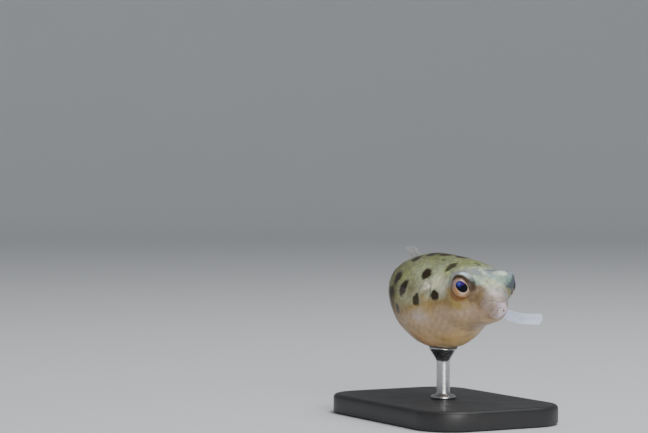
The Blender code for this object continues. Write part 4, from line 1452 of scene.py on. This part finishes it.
def fan(corners, rays, rounding, bow, sag, settings, seed):
    """(front, back, ray share, root share) of a fin in metres.

    A point lies on the straight line between the root and tip edges, out of the fan's plane by a sine of its
    distance from the root and by a small wave between rays. Its thickness swells at each ray, and each ray
    forks towards the edge. The far edge is rounded by a parabola and drawn in between rays.
    """
    root, tip = corners[:2], corners[2:]
    across = np.linspace(0, 1, rays * RAY_STEPS + 1)[None, :]
    along = np.linspace(0, 1, FIN_ROWS)[:, None]
    phase = across * (rays - 1) * 0.94 + 0.03 * (rays - 1)
    notch = 0.01 * (1 - np.cos(2 * math.pi * phase)) + 0.006 * np.sin(across * 23 + seed) * np.sin(across * 9)
    reach = (1 - rounding * (2 * across - 1) ** 2 - notch) * along
    near = root[0] + (root[1] - root[0]) * across[..., None]
    far = tip[0] + (tip[1] - tip[0]) * across[..., None]
    normal = unit(np.cross(root[1] - root[0], tip.mean(axis=0) - root.mean(axis=0)))
    lift = bow * np.sin(reach * math.pi / 1.2) + 0.0022 * np.sin(2 * math.pi * phase) * smooth(reach, 0.15, 0.7)
    lift = lift + 0.006 * np.sin(across * 5.0 + seed) * reach**2
    points = near + (far - near) * reach[..., None] + normal * lift[..., None]
    points[..., 2] -= sag * np.sin(reach * math.pi)
    fork = 0.13 * smooth(along, 0.42, 0.95)
    ridge = hump(np.abs(np.abs(phase - np.round(phase)) - fork), 0, 0.055 + 0.03 * (1 - along))
    ridge = ridge * (1 - 0.45 * smooth(along, 0.7, 1.0))
    joints = 1 - 0.22 * smooth(np.sin(along * 150), 0.75, 1.0) * smooth(along, 0.3, 0.5)
    edge = smooth(across, 0.0, 0.012) * smooth(1 - across, 0.0, 0.012)
    thick = settings.web_thickness + (settings.ray_thickness - settings.web_thickness) * ridge * joints
    thick = thick * (1 + 0.8 * smooth(along, 0.2, 0.0)) * (0.35 + 0.65 * edge)
    half = (normal / BODY_LENGTH / 2) * thick[..., None]
    base = np.broadcast_to(smooth(along, 0.24, 0.04), ridge.shape)
    return in_world(points + half), in_world(points - half), ridge, base


class PUFFER_OT_fins(bpy.types.Operator):
    """Makes the five fins as thin webs with forked rays"""

    bl_idname = "puffer.fins"
    bl_label = "Fins"

    def execute(self, context):
        settings = context.scene.puffer_fin
        looks = {name: fin_material("fin_" + name, settings, getattr(settings, name))
                 for name in ("clear", "soft", "milky")}
        for seed, (name, (*corners, rays, rounding, bow, sag, look)) in enumerate(FINS.items()):
            corners = bent(np.array(corners) * (-1, 1, 1))
            front, back, ray, base = fan(corners, rays, rounding, bow, sag, settings, seed)
            made = closed_sheet(name + "_web", front, back, looks[look])
            keep_numbers(made, ray=np.stack((ray, ray)), root=np.stack((base, base)))
            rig.ride(made, "root")
            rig.replaces(made, name)
            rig.slot(made, "fin")
        return {"FINISHED"}


# ---------------------------------------------------------------- the stand


def plinth_outline(inset):
    """Rounded rectangle drawn in by an inset: straight sides joined by quarter circles."""
    turn = np.linspace(0, math.pi / 2, CORNER_STEPS)
    points = []
    for quarter, (x, y) in enumerate(((1, 1), (-1, 1), (-1, -1), (1, -1))):
        middle = np.array((x * (PLINTH_LENGTH / 2 - PLINTH_CORNER), y * (PLINTH_WIDTH / 2 - PLINTH_CORNER)))
        angle = turn + quarter * math.pi / 2
        points.append(middle + (PLINTH_CORNER - inset) * np.stack((np.cos(angle), np.sin(angle)), axis=-1))
    return np.concatenate(points)


def make_plinth(hue):
    """The plinth: a flat foot, upright sides, a narrow rounded edge and a flat top."""
    look = Look("stand_black", Roughness=0.45)
    haze = look.noise(450, 5)
    look.into("Base Color", look.blend(look.step(haze, 0.4, 0.7, 0.0, 0.35), hue.base, scaled(hue.base, 1.8)))
    look.into("Roughness", look.line(haze, 0.2, 0.36))
    look.bump(look.noise(12000, 2), 0.000004, 0.35)
    turn = np.linspace(0, math.pi / 2, 6)
    inset = np.concatenate(((0.0002, 0.0), PLINTH_EDGE * (1 - np.cos(turn)), (0.001, 0.003)))
    edge = PLINTH_HEIGHT - PLINTH_EDGE * (1 - np.sin(turn))
    high = np.concatenate(((0.0, 0.0002), edge, (PLINTH_HEIGHT,) * 2))
    rows = np.stack([np.column_stack((plinth_outline(i), np.full(4 * CORNER_STEPS, h)))
                     for i, h in zip(inset, high)])
    ends = np.array(((0, 0, 0), (0, 0, PLINTH_HEIGHT)), dtype=float)
    plinth = closed_tube("stand_plinth", rows[:, ::-1], *ends, look.material)
    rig.ride(plinth, "root")
    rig.replaces(plinth, "stand_base")
    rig.slot(plinth, "stand_base")


def belly_over(x, y):
    """Height of the belly's underside over places of the floor, near its lowest point: the place along the body
    is found by going back and forth between the two."""
    c, s = math.cos(NOSE_DOWN), math.sin(NOSE_DOWN)
    side, low = y / BODY_LENGTH, np.full(np.broadcast(x, y).shape, -0.23)
    for _ in range(6):
        place = -(x / BODY_LENGTH + spine(BALANCE)[0] * c - low * s) / c
        _, bottom, half, middle, _, below = section(place)
        low = middle - (middle - bottom) * (1 - np.minimum(np.abs(side / half), 0.99) ** below) ** (1 / below)
    return in_world(xyz(-place, side, low))[..., 2]


def disc(wide, centre):
    """(x, y) of rings of the given radii about a centre."""
    turn = turns_of(DISC_COLUMNS)
    return centre[0] + wide[:, None] * np.cos(turn), centre[1] + wide[:, None] * np.sin(turn)


def make_rod(hue, centre):
    """The rod: a collar on the plinth, the stem, then a cup that flares out and follows the belly."""
    look = Look("stand_turned_steel", Metallic=1.0, Roughness=0.28)
    tall = look.add("Mapping", Vector=look.where, Scale=(0.05, 0.05, 1.0))
    rings = look.noise(30000, 2, where=tall)
    look.into("Base Color", look.blend(rings, scaled(hue.steel, 0.85), hue.steel))
    look.into("Roughness", look.line(rings, 0.2, 0.18))
    look.bump(rings, 0.000006, 0.5)
    foot = BELLY_HEIGHT - 2 * CUP_HEIGHT
    flare = np.linspace(0, 1, 14)[1:]
    # Rows: the collar, the stem, the cup's flare, then its hollow
    wide = np.concatenate((
        ROD_RADIUS * np.array((1.8, 1.85, 1.85, 1.7, 1.12, 1.02)), np.full(STEM_ROWS, ROD_RADIUS),
        ROD_RADIUS + (CUP_RADIUS - ROD_RADIUS) * flare**1.7,
        CUP_RADIUS + np.array((0.0, -0.00002, -0.00008, -0.0002, -0.0006, -0.0011))))
    tall = np.concatenate((
        PLINTH_HEIGHT + np.array((0.00001, 0.00006, 0.00026, 0.00036, 0.00044, 0.00056)),
        np.linspace(PLINTH_HEIGHT + 0.0007, foot, STEM_ROWS), np.full(len(flare) + 6, foot)))[:, None]
    follow = np.concatenate((np.zeros(STEM_ROWS + 6), flare**1.1, np.ones(6)))[:, None]
    drop = np.concatenate((np.zeros(STEM_ROWS + 6), np.full(len(flare), PAD_THICKNESS + 0.00012),
                           PAD_THICKNESS + np.array((0.00006, 0.00002, 0.0, 0.0, 0.0, 0.0))))[:, None]
    x, y = disc(wide, centre)
    rings = xyz(x, y, tall + follow * (belly_over(x, y) - drop - tall))[:, ::-1]
    ends = np.array(((*centre, PLINTH_HEIGHT + 0.00001), (*centre, rings[-1, :, 2].mean())))
    rod = closed_tube("stand_stem", rings, *ends, look.material)
    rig.ride(rod, "root")
    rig.replaces(rod, "stand_rod")
    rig.slot(rod, "stand_metal")


def make_pad(hue, centre):
    """The pad: its top lies against the belly and its underside in the cup."""
    look = Look("stand_felt", Roughness=0.95, Sheen_Weight=0.4, Sheen_Roughness=0.5)
    fibres = look.noise(15000, 4)
    look.into("Base Color", look.blend(fibres, hue.pad, scaled(hue.pad, 2.4)))
    look.bump(fibres, 0.00002, 0.8)
    out = np.linspace(0.0, 1.0, 14)[1:]
    x, y = disc(out * (CUP_RADIUS - 0.00004), centre)
    top = belly_over(x, y)
    fuzz = 0.000006 * ripple(xyz(x, y, top), 0.0004, 31) * (out < 0.95)[:, None]
    thin = PAD_THICKNESS * np.sqrt(1 - 0.75 * out**8)[:, None]
    upper, lower = xyz(x, y, top - 0.00001), xyz(x, y, top - thin + fuzz)
    rings = np.concatenate((lower, upper[::-1]))[:, ::-1]
    ends = np.stack((lower[0].mean(axis=0), upper[0].mean(axis=0)))
    pad = closed_tube("stand_pad", rings, *ends, look.material)
    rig.ride(pad, "root")
    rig.slot(pad, "stand_base")


class PUFFER_OT_stand(bpy.types.Operator):
    """Makes the base and the rod, and lays a felt pad between the rod's cup and the belly"""

    bl_idname = "puffer.stand"
    bl_label = "Stand"

    def execute(self, context):
        hue = context.scene.puffer_stand
        low, high = (np.array(v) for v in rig.box("stand_rod"))
        centre = ((low + high) / 2)[:2]
        make_plinth(hue)
        make_rod(hue, centre)
        make_pad(hue, centre)
        return {"FINISHED"}


# ---------------------------------------------------------------- the stage


def make_floor(hue):
    """The floor: level under the stand, then a quarter ellipse up into an upright wall."""
    turn = np.linspace(0, math.pi / 2, 24)
    bend = FLOOR_REACH + WALL_BEND * np.sin(turn)
    wide = np.concatenate(((0.0005, 0.05, 0.2, 0.4), bend, (FLOOR_REACH + WALL_BEND,)))[:, None]
    high = np.concatenate(((0, 0, 0, 0), WALL_BEND * (1 - np.cos(turn)), (WALL_TOP,)))[:, None]
    around = turns_of(128)
    points = xyz(wide * np.cos(around), wide * np.sin(around), high + FLOOR_LEVEL)
    faces = grid_faces(*points.shape[:2])[:, ::-1].tolist() + [list(range(points.shape[1]))]
    look = Look("stage_pale", Roughness=0.75)
    look.into("Base Color", look.blend(look.noise(9, 2), scaled(hue.floor, 0.97), hue.floor))
    floor = add_mesh("stage_floor", points, faces, look.material)
    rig.stage(floor)


def place_facing(name, data, where, aim):
    """An object of a lamp or a camera at a place, looking at another."""
    made = bpy.data.objects.new(name, data)
    made.location = where
    made.rotation_mode = "QUATERNION"
    made.rotation_quaternion = (where - aim).to_track_quat("Z", "Y")
    bpy.context.scene.collection.objects.link(made)
    return made


class PUFFER_OT_stage(bpy.types.Operator):
    """Makes the pale floor that rises all round into a wall, the soft lights and the camera"""

    bl_idname = "puffer.stage"
    bl_label = "Stage"

    def execute(self, context):
        settings = context.scene.puffer_stage
        make_floor(settings)
        world = bpy.data.worlds.new("surround")
        world.use_nodes = True
        back = world.node_tree.nodes["Background"]
        back.inputs["Color"].default_value = (0.92, 0.96, 1.0, 1.0)
        back.inputs["Strength"].default_value = settings.sky
        context.scene.world = world

        low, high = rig.bounds()
        middle = (low + high) / 2
        back_way = Vector((math.sin(CAMERA_AZIMUTH) * math.cos(CAMERA_RISE),
                           -math.cos(CAMERA_AZIMUTH) * math.cos(CAMERA_RISE), math.sin(CAMERA_RISE)))
        right = Vector((math.cos(CAMERA_AZIMUTH), math.sin(CAMERA_AZIMUTH), 0.0))
        up = back_way.cross(right)
        # name, metres towards the camera, to its right and up, power, size, colour
        lamps = (
            ("light_top", 0.05, 0.1, 0.33, settings.top, 0.2, (0.97, 0.98, 1.0)),
            ("light_front", 0.3, 0.1, 0.05, settings.front, 0.16, (1.0, 0.98, 0.95)),
        )
        for name, near, aside, above, power, size, tint in lamps:
            lamp = bpy.data.lights.new(name, "AREA")
            lamp.energy, lamp.size, lamp.color = power, size, tint
            where = middle + back_way * near + right * aside + up * above
            place_facing(name, lamp, where, middle).visible_camera = False

        view = bpy.data.cameras.new("view")
        view.lens, view.sensor_width = CAMERA_LENS, CAMERA_SENSOR
        view.clip_start, view.clip_end = 0.01, 10.0
        between_eyes = Vector(in_world(np.array((-EYE_PLACE, 0.0, EYE_HEIGHT))))
        aim = between_eyes - right * CAMERA_AIM_LEFT + up * CAMERA_AIM_UP
        camera = place_facing("view", view, between_eyes + back_way * CAMERA_DISTANCE, aim)
        context.scene.camera = camera
        return {"FINISHED"}


# ---------------------------------------------------------------- the add-on


class PUFFER_PT_panel(bpy.types.Panel):
    bl_idname = "PUFFER_PT_panel"
    bl_label = "Pufferfish"
    bl_space_type = "VIEW_3D"
    bl_region_type = "UI"
    bl_category = "Pufferfish"

    def draw(self, context):
        for operator, settings in STEPS:
            box = self.layout.box()
            box.operator(operator.bl_idname)
            group = getattr(context.scene, settings, None) if settings else None
            for name in group.bl_rna.properties.keys() if group else ():
                if name not in ("rna_type", "name"):
                    box.prop(group, name)


STEPS = (
    (PUFFER_OT_skin, "puffer_skin"),
    (PUFFER_OT_eyes, "puffer_eye"),
    (PUFFER_OT_beak, None),
    (PUFFER_OT_fins, "puffer_fin"),
    (PUFFER_OT_stand, "puffer_stand"),
    (PUFFER_OT_stage, "puffer_stage"),
)
GROUPS = {
    "puffer_skin": PufferSkinSettings,
    "puffer_eye": PufferEyeSettings,
    "puffer_fin": PufferFinSettings,
    "puffer_stand": PufferStandSettings,
    "puffer_stage": PufferStageSettings,
}


def register():
    for name, group in GROUPS.items():
        bpy.utils.register_class(group)
        setattr(bpy.types.Scene, name, PointerProperty(type=group))
    for operator, _ in STEPS:
        bpy.utils.register_class(operator)
    bpy.utils.register_class(PUFFER_PT_panel)


def unregister():
    bpy.utils.unregister_class(PUFFER_PT_panel)
    for operator, _ in reversed(STEPS):
        bpy.utils.unregister_class(operator)
    for name, group in reversed(GROUPS.items()):
        delattr(bpy.types.Scene, name)
        bpy.utils.unregister_class(group)


def main():
    register()
    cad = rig.bounds()
    for operator, _ in STEPS:
        group, name = operator.bl_idname.split(".")
        getattr(getattr(bpy.ops, group), name)()
    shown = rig.bounds()
    with open("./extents.json", "w") as file:
        json.dump({"cad": [list(v) for v in cad], "visual": [list(v) for v in shown]}, file)


if __name__ == "__main__":
    main()
